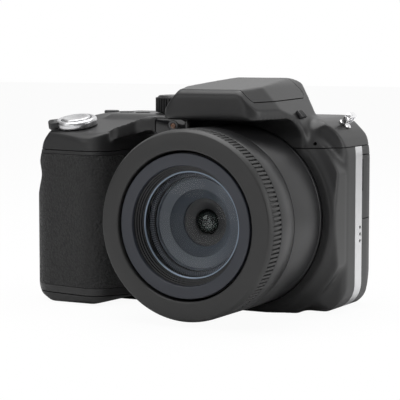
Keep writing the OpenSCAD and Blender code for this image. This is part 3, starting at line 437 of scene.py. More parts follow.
def mould_grain():
    """Fine spark-eroded grain with a slow change of tone and gloss."""
    name = "mould grain"
    if name in bpy.data.node_groups:
        return bpy.data.node_groups[name]
    tree, start, end = new_group(name, [
        ("Tone", 'INPUT', 'NodeSocketColor', (0.03, 0.03, 0.03, 1)), ("Gloss", 'INPUT', 'NodeSocketFloat', 0.4),
        ("Scale", 'INPUT', 'NodeSocketFloat', 3000.0), ("Depth", 'INPUT', 'NodeSocketFloat', 0.1),
        ("Color", 'OUTPUT', 'NodeSocketColor', None), ("Roughness", 'OUTPUT', 'NodeSocketFloat', None),
        ("Normal", 'OUTPUT', 'NodeSocketVector', None)])
    place = put(tree, 'ShaderNodeTexCoord', (-900, -300))
    fine = put(tree, 'ShaderNodeTexNoise', (-600, -300))
    fine.inputs["Detail"].default_value = 3
    slow = put(tree, 'ShaderNodeTexNoise', (-600, 100))
    slow.inputs["Scale"].default_value = 70
    slow.inputs["Detail"].default_value = 4
    tone = put(tree, 'ShaderNodeMix', (100, 200), data_type='RGBA', blend_type='MULTIPLY')
    tone.inputs["Factor"].default_value = 1
    shade = put(tree, 'ShaderNodeMapRange', (-300, 150))
    shade.inputs["To Min"].default_value = 0.82
    shade.inputs["To Max"].default_value = 1.18
    gloss = put(tree, 'ShaderNodeMapRange', (-300, -100))
    gloss.inputs["To Min"].default_value = -0.06
    gloss.inputs["To Max"].default_value = 0.06
    total = put(tree, 'ShaderNodeMath', (100, -50), operation='ADD')
    bump = put(tree, 'ShaderNodeBump', (300, -300))
    bump.inputs["Distance"].default_value = 0.00006
    tree.links.new(place.outputs["Object"], fine.inputs["Vector"])
    tree.links.new(place.outputs["Object"], slow.inputs["Vector"])
    tree.links.new(start.outputs["Scale"], fine.inputs["Scale"])
    tree.links.new(slow.outputs["Fac"], shade.inputs["Value"])
    tree.links.new(fine.outputs["Fac"], gloss.inputs["Value"])
    tree.links.new(start.outputs["Tone"], tone.inputs["A"])
    tree.links.new(shade.outputs["Result"], tone.inputs["B"])
    tree.links.new(start.outputs["Gloss"], total.inputs[0])
    tree.links.new(gloss.outputs["Result"], total.inputs[1])
    tree.links.new(fine.outputs["Fac"], bump.inputs["Height"])
    tree.links.new(start.outputs["Depth"], bump.inputs["Strength"])
    tree.links.new(tone.outputs["Result"], end.inputs["Color"])
    tree.links.new(total.outputs["Value"], end.inputs["Roughness"])
    tree.links.new(bump.outputs["Normal"], end.inputs["Normal"])
    return tree


def pebble_grain():
    """Leather-like pebbles moulded into rubber, with painted shade: the tone is lighter on the pebble tops and darker
    in the valleys between them.
    """
    name = "pebble grain"
    if name in bpy.data.node_groups:
        return bpy.data.node_groups[name]
    tree, start, end = new_group(name, [
        ("Tone", 'INPUT', 'NodeSocketColor', (0.012, 0.012, 0.012, 1)), ("Scale", 'INPUT', 'NodeSocketFloat', 1100.0),
        ("Depth", 'INPUT', 'NodeSocketFloat', 0.7),
        ("Color", 'OUTPUT', 'NodeSocketColor', None), ("Roughness", 'OUTPUT', 'NodeSocketFloat', None),
        ("Normal", 'OUTPUT', 'NodeSocketVector', None)])
    place = put(tree, 'ShaderNodeTexCoord', (-1100, -300))
    wander = put(tree, 'ShaderNodeTexNoise', (-900, -400))
    wander.inputs["Scale"].default_value = 600
    push = put(tree, 'ShaderNodeVectorMath', (-700, -500), operation='SCALE')
    push.inputs["Scale"].default_value = 0.0009
    moved = put(tree, 'ShaderNodeVectorMath', (-500, -300), operation='ADD')
    cells = put(tree, 'ShaderNodeTexVoronoi', (-300, -200), feature='SMOOTH_F1')
    cells.inputs["Smoothness"].default_value = 0.35
    fine = put(tree, 'ShaderNodeTexNoise', (-300, -500))
    fine.inputs["Scale"].default_value = 4200
    height = put(tree, 'ShaderNodeMath', (0, -350), operation='MULTIPLY_ADD')
    height.inputs[1].default_value = -1.0
    # Painted shade: tone 1.35 on the pebble tops, falling to 0.55 in the valleys between pebbles.
    speckle_and_valley_shade = put(tree, 'ShaderNodeMapRange', (0, 100))
    speckle_and_valley_shade.inputs["To Min"].default_value = 1.35
    speckle_and_valley_shade.inputs["To Max"].default_value = 0.55
    tone = put(tree, 'ShaderNodeMix', (250, 200), data_type='RGBA', blend_type='MULTIPLY')
    tone.inputs["Factor"].default_value = 1
    gloss = put(tree, 'ShaderNodeMapRange', (0, -100))
    gloss.inputs["To Min"].default_value = 0.38
    gloss.inputs["To Max"].default_value = 0.62
    bump = put(tree, 'ShaderNodeBump', (300, -300))
    bump.inputs["Distance"].default_value = 0.00035
    tree.links.new(place.outputs["Object"], wander.inputs["Vector"])
    tree.links.new(wander.outputs["Color"], push.inputs[0])
    tree.links.new(place.outputs["Object"], moved.inputs[0])
    tree.links.new(push.outputs["Vector"], moved.inputs[1])
    tree.links.new(moved.outputs["Vector"], cells.inputs["Vector"])
    tree.links.new(start.outputs["Scale"], cells.inputs["Scale"])
    tree.links.new(place.outputs["Object"], fine.inputs["Vector"])
    tree.links.new(cells.outputs["Distance"], height.inputs[0])
    tree.links.new(fine.outputs["Fac"], height.inputs[2])
    tree.links.new(cells.outputs["Distance"], speckle_and_valley_shade.inputs["Value"])
    tree.links.new(cells.outputs["Distance"], gloss.inputs["Value"])
    tree.links.new(start.outputs["Tone"], tone.inputs["A"])
    tree.links.new(speckle_and_valley_shade.outputs["Result"], tone.inputs["B"])
    tree.links.new(height.outputs["Value"], bump.inputs["Height"])
    tree.links.new(start.outputs["Depth"], bump.inputs["Strength"])
    tree.links.new(tone.outputs["Result"], end.inputs["Color"])
    tree.links.new(gloss.outputs["Result"], end.inputs["Roughness"])
    tree.links.new(bump.outputs["Normal"], end.inputs["Normal"])
    return tree


def blank(name):
    """A material and its shader."""
    mat = bpy.data.materials.new(name)
    mat.use_nodes = True
    return mat, mat.node_tree, mat.node_tree.nodes["Principled BSDF"]


def shown(mat, colour):
    """Colour of a material in the viewport."""
    mat.diffuse_color = (*colour, 1)
    return mat


def plastic(name, colour, gloss=0.42, scale=3000.0, depth=0.12, specular=0.5, metallic=0.0):
    """Moulded or lacquered surface with a fine grain."""
    if name in bpy.data.materials:
        return bpy.data.materials[name]
    mat, tree, shader = blank(name)
    grain = put(tree, 'ShaderNodeGroup', (-300, 200), node_tree=mould_grain())
    grain.inputs["Tone"].default_value = (*colour, 1)
    grain.inputs["Gloss"].default_value = gloss
    grain.inputs["Scale"].default_value = scale
    grain.inputs["Depth"].default_value = depth
    shader.inputs["Specular IOR Level"].default_value = specular
    shader.inputs["Metallic"].default_value = metallic
    tree.links.new(grain.outputs["Color"], shader.inputs["Base Color"])
    tree.links.new(grain.outputs["Roughness"], shader.inputs["Roughness"])
    tree.links.new(grain.outputs["Normal"], shader.inputs["Normal"])
    return shown(mat, colour)


def rubber(name, colour, scale=1100.0, depth=1.0):
    """Grained rubber."""
    if name in bpy.data.materials:
        return bpy.data.materials[name]
    mat, tree, shader = blank(name)
    grain = put(tree, 'ShaderNodeGroup', (-300, 200), node_tree=pebble_grain())
    grain.inputs["Tone"].default_value = (*colour, 1)
    grain.inputs["Scale"].default_value = scale
    grain.inputs["Depth"].default_value = depth
    shader.inputs["Specular IOR Level"].default_value = 0.45
    tree.links.new(grain.outputs["Color"], shader.inputs["Base Color"])
    tree.links.new(grain.outputs["Roughness"], shader.inputs["Roughness"])
    tree.links.new(grain.outputs["Normal"], shader.inputs["Normal"])
    return shown(mat, colour)


def brushed(name, colour, gloss=0.3, along=(1, 1, 0.03), metallic=1.0):
    """Metal with fine drawn lines along one axis."""
    if name in bpy.data.materials:
        return bpy.data.materials[name]
    mat, tree, shader = blank(name)
    place = put(tree, 'ShaderNodeTexCoord', (-900, 0))
    stretch = put(tree, 'ShaderNodeMapping', (-700, 0))
    stretch.inputs["Scale"].default_value = along
    lines = put(tree, 'ShaderNodeTexNoise', (-500, 0))
    lines.inputs["Scale"].default_value = 6000
    lines.inputs["Detail"].default_value = 3
    tone = put(tree, 'ShaderNodeMapRange', (-250, 150))
    tone.inputs["To Min"].default_value = 0.9
    tone.inputs["To Max"].default_value = 1.08
    mixed = put(tree, 'ShaderNodeMix', (-100, 300), data_type='RGBA', blend_type='MULTIPLY')
    mixed.inputs["Factor"].default_value = 1
    mixed.inputs["A"].default_value = (*colour, 1)
    rough = put(tree, 'ShaderNodeMapRange', (-250, -100))
    rough.inputs["To Min"].default_value = gloss - 0.06
    rough.inputs["To Max"].default_value = gloss + 0.08
    bump = put(tree, 'ShaderNodeBump', (-100, -300))
    bump.inputs["Strength"].default_value = 0.06
    bump.inputs["Distance"].default_value = 0.00003
    shader.inputs["Metallic"].default_value = metallic
    tree.links.new(place.outputs["Object"], stretch.inputs["Vector"])
    tree.links.new(stretch.outputs["Vector"], lines.inputs["Vector"])
    for end in (tone, rough):
        tree.links.new(lines.outputs["Fac"], end.inputs["Value"])
    tree.links.new(tone.outputs["Result"], mixed.inputs["B"])
    tree.links.new(mixed.outputs["Result"], shader.inputs["Base Color"])
    tree.links.new(rough.outputs["Result"], shader.inputs["Roughness"])
    tree.links.new(lines.outputs["Fac"], bump.inputs["Height"])
    tree.links.new(bump.outputs["Normal"], shader.inputs["Normal"])
    return shown(mat, colour)


def turned_lines(name, colour, other, count, gloss, metallic, depth):
    """A ring with fine turned grooves about the lens axis, so many to the metre."""
    mat, tree, shader = blank(name)
    place = put(tree, 'ShaderNodeTexCoord', (-1300, 0))
    centre = put(tree, 'ShaderNodeMapping', (-1100, 0))
    centre.inputs["Location"].default_value = (0, 0, -LENS_H * MM)
    parts = put(tree, 'ShaderNodeSeparateXYZ', (-900, 0))
    tree.links.new(place.outputs["Object"], centre.inputs["Vector"])
    tree.links.new(centre.outputs["Vector"], parts.inputs["Vector"])
    flat = put(tree, 'ShaderNodeCombineXYZ', (-800, -200))
    tree.links.new(parts.outputs["X"], flat.inputs["X"])
    tree.links.new(parts.outputs["Z"], flat.inputs["Y"])
    radius = put(tree, 'ShaderNodeVectorMath', (-700, 0), operation='LENGTH')
    tree.links.new(flat.outputs["Vector"], radius.inputs[0])
    many = put(tree, 'ShaderNodeMath', (-500, 0), operation='MULTIPLY')
    many.inputs[1].default_value = 2 * math.pi * count
    wave = put(tree, 'ShaderNodeMath', (-350, 0), operation='SINE')
    step = put(tree, 'ShaderNodeMapRange', (-200, 0))
    step.inputs["From Min"].default_value = -0.6
    step.inputs["From Max"].default_value = 0.6
    speckle_and_valley_shade = put(tree, 'ShaderNodeTexNoise', (-500, -300))
    speckle_and_valley_shade.inputs["Scale"].default_value = 2500
    rough = put(tree, 'ShaderNodeMapRange', (-200, -300))
    rough.inputs["To Min"].default_value = gloss - 0.1
    rough.inputs["To Max"].default_value = gloss + 0.1
    mixed = put(tree, 'ShaderNodeMix', (0, 200), data_type='RGBA')
    mixed.inputs["A"].default_value = (*colour, 1)
    mixed.inputs["B"].default_value = (*other, 1)
    bump = put(tree, 'ShaderNodeBump', (0, -200))
    bump.inputs["Strength"].default_value = depth
    bump.inputs["Distance"].default_value = 0.0001
    shader.inputs["Metallic"].default_value = metallic
    tree.links.new(radius.outputs["Value"], many.inputs[0])
    tree.links.new(many.outputs["Value"], wave.inputs[0])
    tree.links.new(wave.outputs["Value"], step.inputs["Value"])
    tree.links.new(step.outputs["Result"], mixed.inputs["Factor"])
    tree.links.new(step.outputs["Result"], bump.inputs["Height"])
    tree.links.new(place.outputs["Object"], speckle_and_valley_shade.inputs["Vector"])
    tree.links.new(speckle_and_valley_shade.outputs["Fac"], rough.inputs["Value"])
    tree.links.new(rough.outputs["Result"], shader.inputs["Roughness"])
    tree.links.new(mixed.outputs["Result"], shader.inputs["Base Color"])
    tree.links.new(bump.outputs["Normal"], shader.inputs["Normal"])
    return shown(mat, colour)


def glass(name, colour=(1, 1, 1), ior=1.45, film=0.0, gloss=0.0, specular=0.5):
    """Clear coated glass with a trace of dust."""
    if name in bpy.data.materials:
        return bpy.data.materials[name]
    mat, tree, shader = blank(name)
    shader.inputs["Base Color"].default_value = (*colour, 1)
    shader.inputs["Transmission Weight"].default_value = 1
    shader.inputs["IOR"].default_value = ior
    shader.inputs["Specular IOR Level"].default_value = specular
    shader.inputs["Thin Film Thickness"].default_value = film
    place = put(tree, 'ShaderNodeTexCoord', (-700, 0))
    dust = put(tree, 'ShaderNodeTexNoise', (-500, 0))
    dust.inputs["Scale"].default_value = 900
    rough = put(tree, 'ShaderNodeMapRange', (-250, 0))
    rough.inputs["From Min"].default_value = 0.45
    rough.inputs["To Min"].default_value = gloss
    rough.inputs["To Max"].default_value = gloss + 0.03
    tree.links.new(place.outputs["Object"], dust.inputs["Vector"])
    tree.links.new(dust.outputs["Fac"], rough.inputs["Value"])
    tree.links.new(rough.outputs["Result"], shader.inputs["Roughness"])
    return shown(mat, colour)


# Pieces

def solid_from(name, plan, face, side):
    """The body that three outlines share."""
    form = prism(name, plan, 'Z', -FAR, FAR)
    carve(form, prism("face", face, 'Y', -FAR, FAR), 'INTERSECT')
    return carve(form, prism("side", side, 'X', -FAR, FAR), 'INTERSECT')


class Mould:
    """The moulded form that all covers are cut from, its hollow and the form under the rubber."""

    def __init__(self, settings):
        form = solid_from("mould", MAIN_PLAN, MAIN_FACE, MAIN_SIDE)
        collar = turned("collar", COLLAR, 96)
        carve(collar, prism("clip", MAIN_FACE, 'Y', -FAR, FAR), 'INTERSECT')
        hump = solid_from("hump", HUMP_PLAN, HUMP_FACE, HUMP_SIDE)
        for side in (-1, 1):
            flank = prism("nose_side", [(-side * x, z) for x, z in NOSE_SIDE], 'Y', -10, 60)
            spot = (side * NOSE_AT[0], *NOSE_AT[1:])
            carve(hump, place(flank, spot, (0, 0, -side * NOSE_TURN)))
        for piece in (solid_from("grip", GRIP_PLAN, GRIP_FACE, GRIP_SIDE), hump,
                      solid_from("brow", BROW_PLAN, BROW_FACE, BROW_SIDE),
                      prism("lamp_house", LAMP_HOUSE, 'Y', -24.3, -12), collar):
            carve(form, piece, 'UNION')
        ends = prism("turned_face", TURNED_FACE, 'Y', -FAR, FAR)
        carve(form, place(ends, (0, 0, 0), (0, 0, BODY_TURN)), 'INTERSECT')
        carve(form, prism("grip_lift", GRIP_LIFT, 'Y', -FAR, -12))
        grid(form, settings.voxel)
        relax(form, 5)
        mark_hollows(form, "hollows", 5)
        relax(form, settings.blend, 0.5, "hollows")
        relax(form, 3)
        form.vertex_groups.clear()
        self.outer = form
        self.inner = inside_copy(form, "hollow", settings.wall, 0.001)
        self.under_skin = inside_copy(form, "under_skin", 0.0014, 0.0009)

    def bed(self, low, high):
        """A block less what lies under the rubber: the seat of a skin, a band or a door."""
        return carve(box("bed", low, high), self.under_skin, keep=True)

    def cover(self, name, keep, cuts):
        """A piece of the form: inside one solid, less the others."""
        piece = carve(twin(self.outer, name), keep, 'INTERSECT')
        for tool in cuts:
            carve(piece, tool)
        return piece

    def hollow(self):
        return twin(self.inner, "hollow_tool")

    def clear(self):
        drop(self.outer, self.inner, self.under_skin)


def above(gap):
    """Everything over the top cover's seam, shifted up by a gap in millimetres."""
    return prism("above", [(x, z + gap) for x, z in SEAM], 'Y', -FAR, FAR)


def lens_bore():
    return rod("bore", 'Y', -FAR, -4, 0, LENS_H, 33.3, 192)


def lid_block(gap):
    """The space of the flash lid, less a gap all round; its rear edge follows an arc about the lid's pin."""
    plan = [(x, y + (gap if y < -30 else -gap if y > 0 else 0), r) for x, y, r in LID_PLAN]
    side = [(y - (gap if y > 0 else 0), z + gap, r) for y, z, r in LID_SIDE]
    block = carve(prism("lid_block", plan, 'Z', 60, 120), prism("lid_side", side, 'X', -FAR, FAR), 'INTERSECT')
    carve(block, rod("lid_arc", 'X', -FAR, FAR, LID_PIN[0], LID_PIN[1], 2.45 + gap))
    return carve(block, box("lid_tail", (gap - 7.8, -1, 75.4 + gap), (7.8 - gap, LID_PIN[0], 120)), 'UNION')


class CAMERA_OT_shells(bpy.types.Operator):
    """Cuts the covers, the base, the flash lid, the side band, the port door and the rubber from one moulded form"""
    bl_idname = "camera_part.shells"
    bl_label = "Shells"

    def execute(self, context):
        settings = context.scene.camera_shell
        mould = Mould(settings)
        g = settings.seam / MM / 2
        coat = plastic("charcoal moulding", settings.plastic, 0.40, 3600, 0.10)
        dark = plastic("dark moulding", tuple(c * 0.75 for c in settings.plastic), 0.44, 3600, 0.12)
        band = brushed("drawn aluminium", settings.band, 0.30, (1, 1, 0.02))
        skin = rubber("grained rubber", settings.rubber)

        band_low, band_high = (26, 3.5, -FAR), (FAR, 9.6, 59.5)
        front = mould.cover("shell_front", box("ahead", (-FAR, -FAR, -FAR), (FAR, 6.5 - g, FAR)), [
            above(-g), mould.hollow(), lens_bore(),
            box("base", (-FAR, -FAR, -FAR), (-38, FAR, 3.6 + g)),
            mould.bed((-FAR, -FAR, 6.5 - g), (-38.2, 5.3 + g, 55.5 + g)), mould.bed((26, 3.5 - g, -FAR), band_high),
            rod("socket_hole", 'Z', -5, 12, 0, 0, 5.05)])
        for x, y in SCREWS[::2]:
            carve(front, rod("screw_hole", 'Z', -3, 1.0, x, y, 1.9, 32))
        dress(front, "camera_body", coat, ["front_cover"])

        rear = mould.cover("shell_rear", box("behind", (-FAR, 6.5 + g, -FAR), (FAR, FAR, FAR)), [
            above(-g), mould.hollow(),
            box("base", (-FAR, -FAR, -FAR), (-38, FAR, 3.6 + g)),
            mould.bed(band_low, (FAR, 9.6 + g, 59.5)),
            carve(box("port_bed", (0, 9.6, 32.7), (FAR, 17.3, 56.3)), mould.inner, keep=True),
            rod("port_sweep", 'Z', 32.7, 56.3, *PORT_PIN, 2.35),
            box("port_well", (30, 10.4, 34.6), (FAR, 14.8, 54.4)),
            mould.bed((-FAR, 12 - g, 46.5 - g), (-60 + g, FAR, 55.8 + g)),
            prism("window", [(-42.6, 5.9, 2), (24.6, 5.9, 2), (24.6, 56.1, 2), (-42.6, 56.1, 2)], 'Y', 12, FAR),
            rod("pad_hole", 'Y', 12, FAR, *PAD_AT, 10.3)])
        for x, z in REAR_BUTTONS.values():
            carve(rear, rod("button_hole", 'Y', 15, FAR, x, z, 3.05))
        for x, y in SCREWS[1::2]:
            carve(rear, rod("screw_hole", 'Z', -3, 1.0, x, y, 1.9, 32))
        dress(rear, "camera_body", coat, ["rear_cover"])

        top = mould.cover("shell_top", above(g), [
            mould.hollow(), lens_bore(), lid_block(-0.02), rod("knuckle_gap", 'X', -7.8, 7.8, *LID_PIN, 2.8)])
        lugs = box("hinge_lugs", (-10.4, 3.0, 79.8), (10.4, 6.4, 90))
        carve(lugs, box("middle", (-7.8, 0, 70), (7.8, 10, 95)))
        carve(lugs, mould.outer, 'INTERSECT', keep=True)
        carve(top, lugs, 'UNION')
        carve(top, place(rod("shutter_hole", 'Z', -12, 12, 0, 0, 5.5), SHUTTER_AT, SHUTTER_TURN))
        carve(top, rod("dial_hole", 'Z', 60, 90, *DIAL_AT[:2], 4.05))
        for x, y, _ in TOP_BUTTONS.values():
            carve(top, rod("button_hole", 'Z', 60, 90, x, y, 3.0))
        carve(top, prism("lamp_bed", LAMP_BED, 'Y', -40, -23.4))
        carve(top, rod("sound_hole", 'Y', -30, 0, 29, 61.1, 0.6, 32))
        carve(top, place(box("switch_slot", (-0.9, -1.4, -4), (0.9, 3.4, 8)), SWITCH_AT, SWITCH_TURN))
        for spot, turn, seat in LUGS:
            carve(top, place(rod("lug_hole", 'Z', seat - 6, seat + 2, 0, 0, 1.65, 32), spot, turn))
        dress(top, "camera_body", coat, ["top_cover"])

        base = mould.cover("shell_base", box("low", (-FAR, -FAR, -FAR), (-38 - g, FAR, 3.6 - g)), [
            mould.hollow(), box("door_way", (-70.6, -24.2, -5), (-56.7, 14.5, 10))])
        dress(base, "camera_body", dark, ["grip_base"])

        lid = mould.cover("lid_shell", lid_block(0.3), [inside_copy(mould.outer, "lid_hollow", 0.0016, 0.0009)])
        knuckle = rod("knuckle", 'X', -7.5, 7.5, *LID_PIN, 2.2)
        carve(knuckle, mould.outer, 'INTERSECT', keep=True)
        carve(lid, knuckle, 'UNION')
        carve(lid, rod("pin_hole", 'X', -9, 9, *LID_PIN, 0.75, 32))
        dress(lid, "flash_lid", coat, ["flash_lid"])

        strip = mould.cover("side_band", box("band", band_low, (FAR, 9.6, 59.5 - g)), [
            inside_copy(mould.outer, "band_hollow", 0.0009, 0.0007)])
        for z in (25, 27.5, 30):
            carve(strip, rod("sound_hole", 'X', 0, 60, 8.0, z, 0.65, 32))
        dress(strip, "camera_body", band, ["side_trim"])

        door = mould.cover("port_lid", box("port", (0, 9.7, 33), (FAR, 18.6, 56)), [
            twin(mould.under_skin, "port_hollow"), box("nail_slot", (0, 0, 43), (FAR, 10.5, 54.5))])
        knuckle = rod("knuckle", 'Z', 33, 56, *PORT_PIN, 1.1)
        carve(door, carve(knuckle, mould.outer, 'INTERSECT', keep=True), 'UNION')
        dress(door, "port_door", dark, ["port_door"])

        grip = mould.cover("rubber_grip", box("grip", (-FAR, -FAR, 6.5), (-38.2, 5.3, 55.5)), [
            twin(mould.under_skin, "grip_hollow")])
        dress(grip, "camera_body", skin, ["grip_skin"])
        thumb = mould.cover("rubber_thumb", box("thumb", (-FAR, 12, 46.5), (-60, FAR, 55.8)), [
            twin(mould.under_skin, "thumb_hollow")])
        dress(thumb, "camera_body", skin, ["thumb_rest"])
        mould.clear()
        return {'FINISHED'}


class CAMERA_OT_barrel(bpy.types.Operator):
    """Turns the fixed barrel, its ribbed band and the front ring"""
    bl_idname = "camera_part.barrel"
    bl_label = "Barrel"

    def execute(self, context):
        settings = context.scene.camera_lens
        satin = plastic("barrel lacquer", settings.barrel, 0.36, 4200, 0.06)
        face = plastic("front ring lacquer", settings.ring, 0.46, 4200, 0.10)
        # Painted highlight: a near-white, barely metallic strip on the front ring's bevel stands in for the light that
        # the bevel catches.
        edge = brushed("polished edge", (0.86, 0.86, 0.87), 0.25, (1, 1, 1), 0.1)
        base = turned("barrel_back", [
            (30.2, 10.8), (33, 10.8), (33, 16.9), (32.86, 17.1), (32.86, 17.5), (33, 17.7), (33, 38.05), (32.9, 38.3),
            (32.6, 38.3), (32.6, 38.6), (30.2, 38.6)], settings.steps)
        dress(base, "camera_body", satin, ["barrel_base"])
        front = turned("barrel_sleeve", [
            (30.2, 38.6), (32.75, 38.6), (32.92, 38.68), (33, 38.85), (33, 48.1), (32.9, 48.35), (32.7, 48.45),
            (31.7, 48.5), (31.7, 54.6), (30.2, 54.6)], settings.steps)
        dress(front, "camera_body", satin, ["barrel_front"])
        top = LENS_H + 32.15
        tooth = [(-0.58, top), (0.58, top), (0.45, top + 0.85), (-0.45, top + 0.85)]
        rib = prism("grip_ribs", tooth, 'Y', -54.5, -48.62)
        round_edges(rib, 0.16, 2, 30)
        spread_round(rib, settings.ribs, (0, 0, LENS_H), (0, 1, 0))
        joined(rib, turned("rib_seat", [(31.75, 48.55), (32.3, 48.55), (32.3, 54.55), (31.75, 54.55)], settings.steps))
        dress(rib, "camera_body", plastic("rib rubber", (0.030, 0.030, 0.030), 0.5, 3000, 0.1), ["rib_band"])
        ring = turned("mouth_ring", [
            (25.8, 52.4), (27, 52.4), (27, 54.6), (32.8, 54.6), (33, 54.75), (33, 54.95), (32.6, 55.75), (32.2, 56.45),
            (32.0, 56.68), (31.7, 56.78), (26.5, 57.0), (26.2, 56.95), (25.95, 56.75), (25.8, 56.4)], settings.steps)
        # The bevel's faces take the painted highlight.
        paint(ring, 1, lambda r, f: 32.6 < r < 33 and 54.95 < f < 55.75)
        dress(ring, "camera_body", [face, edge], ["front_ring"])
        return {'FINISHED'}


class CAMERA_OT_lens(bpy.types.Operator):
    """Turns the rings inside the lens mouth and grinds the glasses"""
    bl_idname = "camera_part.lens"
    bl_label = "Lens"

    def execute(self, context):
        settings = context.scene.camera_lens
        steps = settings.steps
        black = plastic("lens black", (0.010, 0.010, 0.011), 0.5, 2600, 0.3)
        # Painted highlight: bright metal on the front edges of the bezel and on thin rims of the cone stands in for
        # light caught by those edges.
        bright = brushed("bright edge", (0.55, 0.58, 0.64), 0.25, (1, 1, 1))
        bezel = turned("tube_bezel", [
            (20.6, 54.9), (24.9, 54.9), (24.9, 56.05), (24.8, 56.28), (24.58, 56.4), (21.1, 56.12), (20.82, 56.05),
            (20.68, 55.9), (20.6, 55.7)], steps)
        # The bezel's outer and inner front edges take the painted highlight.
        paint(bezel, 1, lambda r, f: f > 55.6 and (r > 24.62 or r < 20.78))
        dress(bezel, "inner_tube", [plastic("satin bezel", settings.bezel, 0.34, 4200, 0.05, 0.6), bright],
              ["lens_bezel"])
        funnel = turned("baffle", [
            (16.4, 45.9), (22.15, 45.9), (22.15, 54.9), (20.6, 54.9), (20.45, 54.2), (20.1, 54.1), (19.95, 53.4),
            (19.6, 53.3), (19.45, 52.6), (19.1, 52.5), (18.95, 51.7), (18.6, 51.5), (18.6, 47.55), (16.4, 47.2)], steps)
        dress(funnel, "inner_tube", black, ["baffle_ring"])
        low, high = LENS_H + 16.6, LENS_H + 18.1
        tooth = prism("seat_teeth", [(-0.17, low), (0.17, low), (0.19, high), (-0.19, high)], 'Y', -47.95, -47.2)
        spread_round(tooth, 150, (0, 0, LENS_H), (0, 1, 0))
        # Painted light: the teeth are a lighter grey than the black baffle, standing in for the light that the serrated
        # zone catches.
        dress(tooth, "inner_tube", plastic("tooth grey", (0.11, 0.12, 0.14), 0.4, 3000, 0.05), ())
        rim = turned("glass_rim", [
            (18.05, 50.9), (18.6, 50.9), (18.6, 51.3), (18.45, 51.42), (18.2, 51.42), (18.05, 51.3)], steps)
        dress(rim, "inner_tube", brushed("blued rim", (0.26, 0.32, 0.40), 0.32, (1, 1, 1), 0.6), ())
        cone = turned("light_cone", [
            (8.4, 38), (22.15, 38), (22.15, 45.9), (16.35, 45.9), (16.3, 46.5), (16.1, 46.7), (15.85, 46.7),
            (15.65, 46.5), (15.5, 45.9), (15.3, 45.8), (11.95, 45.05), (11.75, 44.9), (11.55, 44.3),
            (10.2, 43.0), (10.05, 42.75), (8.6, 41.5), (8.45, 41.3), (8.4, 41.1)], steps)
        paint(cone, 1, lambda r, f: 11.9 < r < 15.4 and f > 44.9)
        # Thin rims of the cone take the same bright metal, as painted highlights.
        paint(cone, 2, lambda r, f: r < 8.55 and 41.0 < f < 41.6)
        paint(cone, 2, lambda r, f: 11.6 < r < 11.96 and f > 44.6)
        paint(cone, 2, lambda r, f: 15.5 < r < 16.33 and f > 46.1)
        paint(cone, 3, lambda r, f: 10.1 < r < 11.6 and 42.7 < f < 44.4)
        # Both tones of the wide ring come from the steel-blue colour lightened as painted reflected light; the second
        # tone is 0.8 of the first.
        dimmer = tuple(c * 0.8 for c in settings.cone)
        wide = turned_lines("turned ring", settings.cone, dimmer, 2600, 0.30, 0.25, 0.15)
        dress(cone, "inner_tube", [
            plastic("slate cone", (0.060, 0.070, 0.085), 0.36, 3600, 0.05), wide, bright,
            plastic("pale slate", (0.13, 0.15, 0.18), 0.36, 3600, 0.05)], ["inner_cone"])
        iris = turned("iris_plate", [
            (4.6, 38), (8.35, 38), (8.35, 40.5), (7.3, 40.5), (7.1, 40.42), (4.75, 39.75), (4.6, 39.6)], steps)
        dress(iris, "inner_tube", black, ["iris_unit"])
        coated = glass("coated glass", (0.98, 0.99, 1.0), 1.12)
        outer, inner = 70.07, 69.2
        arc = [(r, 52.0 - (outer - math.sqrt(outer ** 2 - r * r))) for r in (0, 3, 6, 9, 12, 14, 16, 17.4, 18.3)]
        back = [(r, 51.3 - (inner - math.sqrt(inner ** 2 - r * r))) for r in (17.9, 16, 14, 12, 9, 6, 3, 0)]
        front = turned("front_lens", arc + [(18.55, 49.2), (18.55, 47.6), (18.2, 47.6)] + back, steps)
        dress(front, "inner_tube", coated, ["front_glass"], 40).visible_shadow = False
        ball = 3.9
        dome = [(r, 40.7 - (ball - math.sqrt(ball ** 2 - min(r, ball) ** 2)) * 0.55)
                for r in (0, 0.6, 1.2, 1.8, 2.4, 2.9, 3.3, 3.6, 3.85)]
        bulb = turned("second_lens", dome + [(4.5, 38.5), (4.5, 38.05), (0, 38.05)], 96)
        deep = glass("deep glass", (0.10, 0.16, 0.14), 1.6, 0.0, 0.0, 0.8)
        dress(bulb, "inner_tube", deep, ["second_glass"], 50).visible_shadow = False
        return {'FINISHED'}


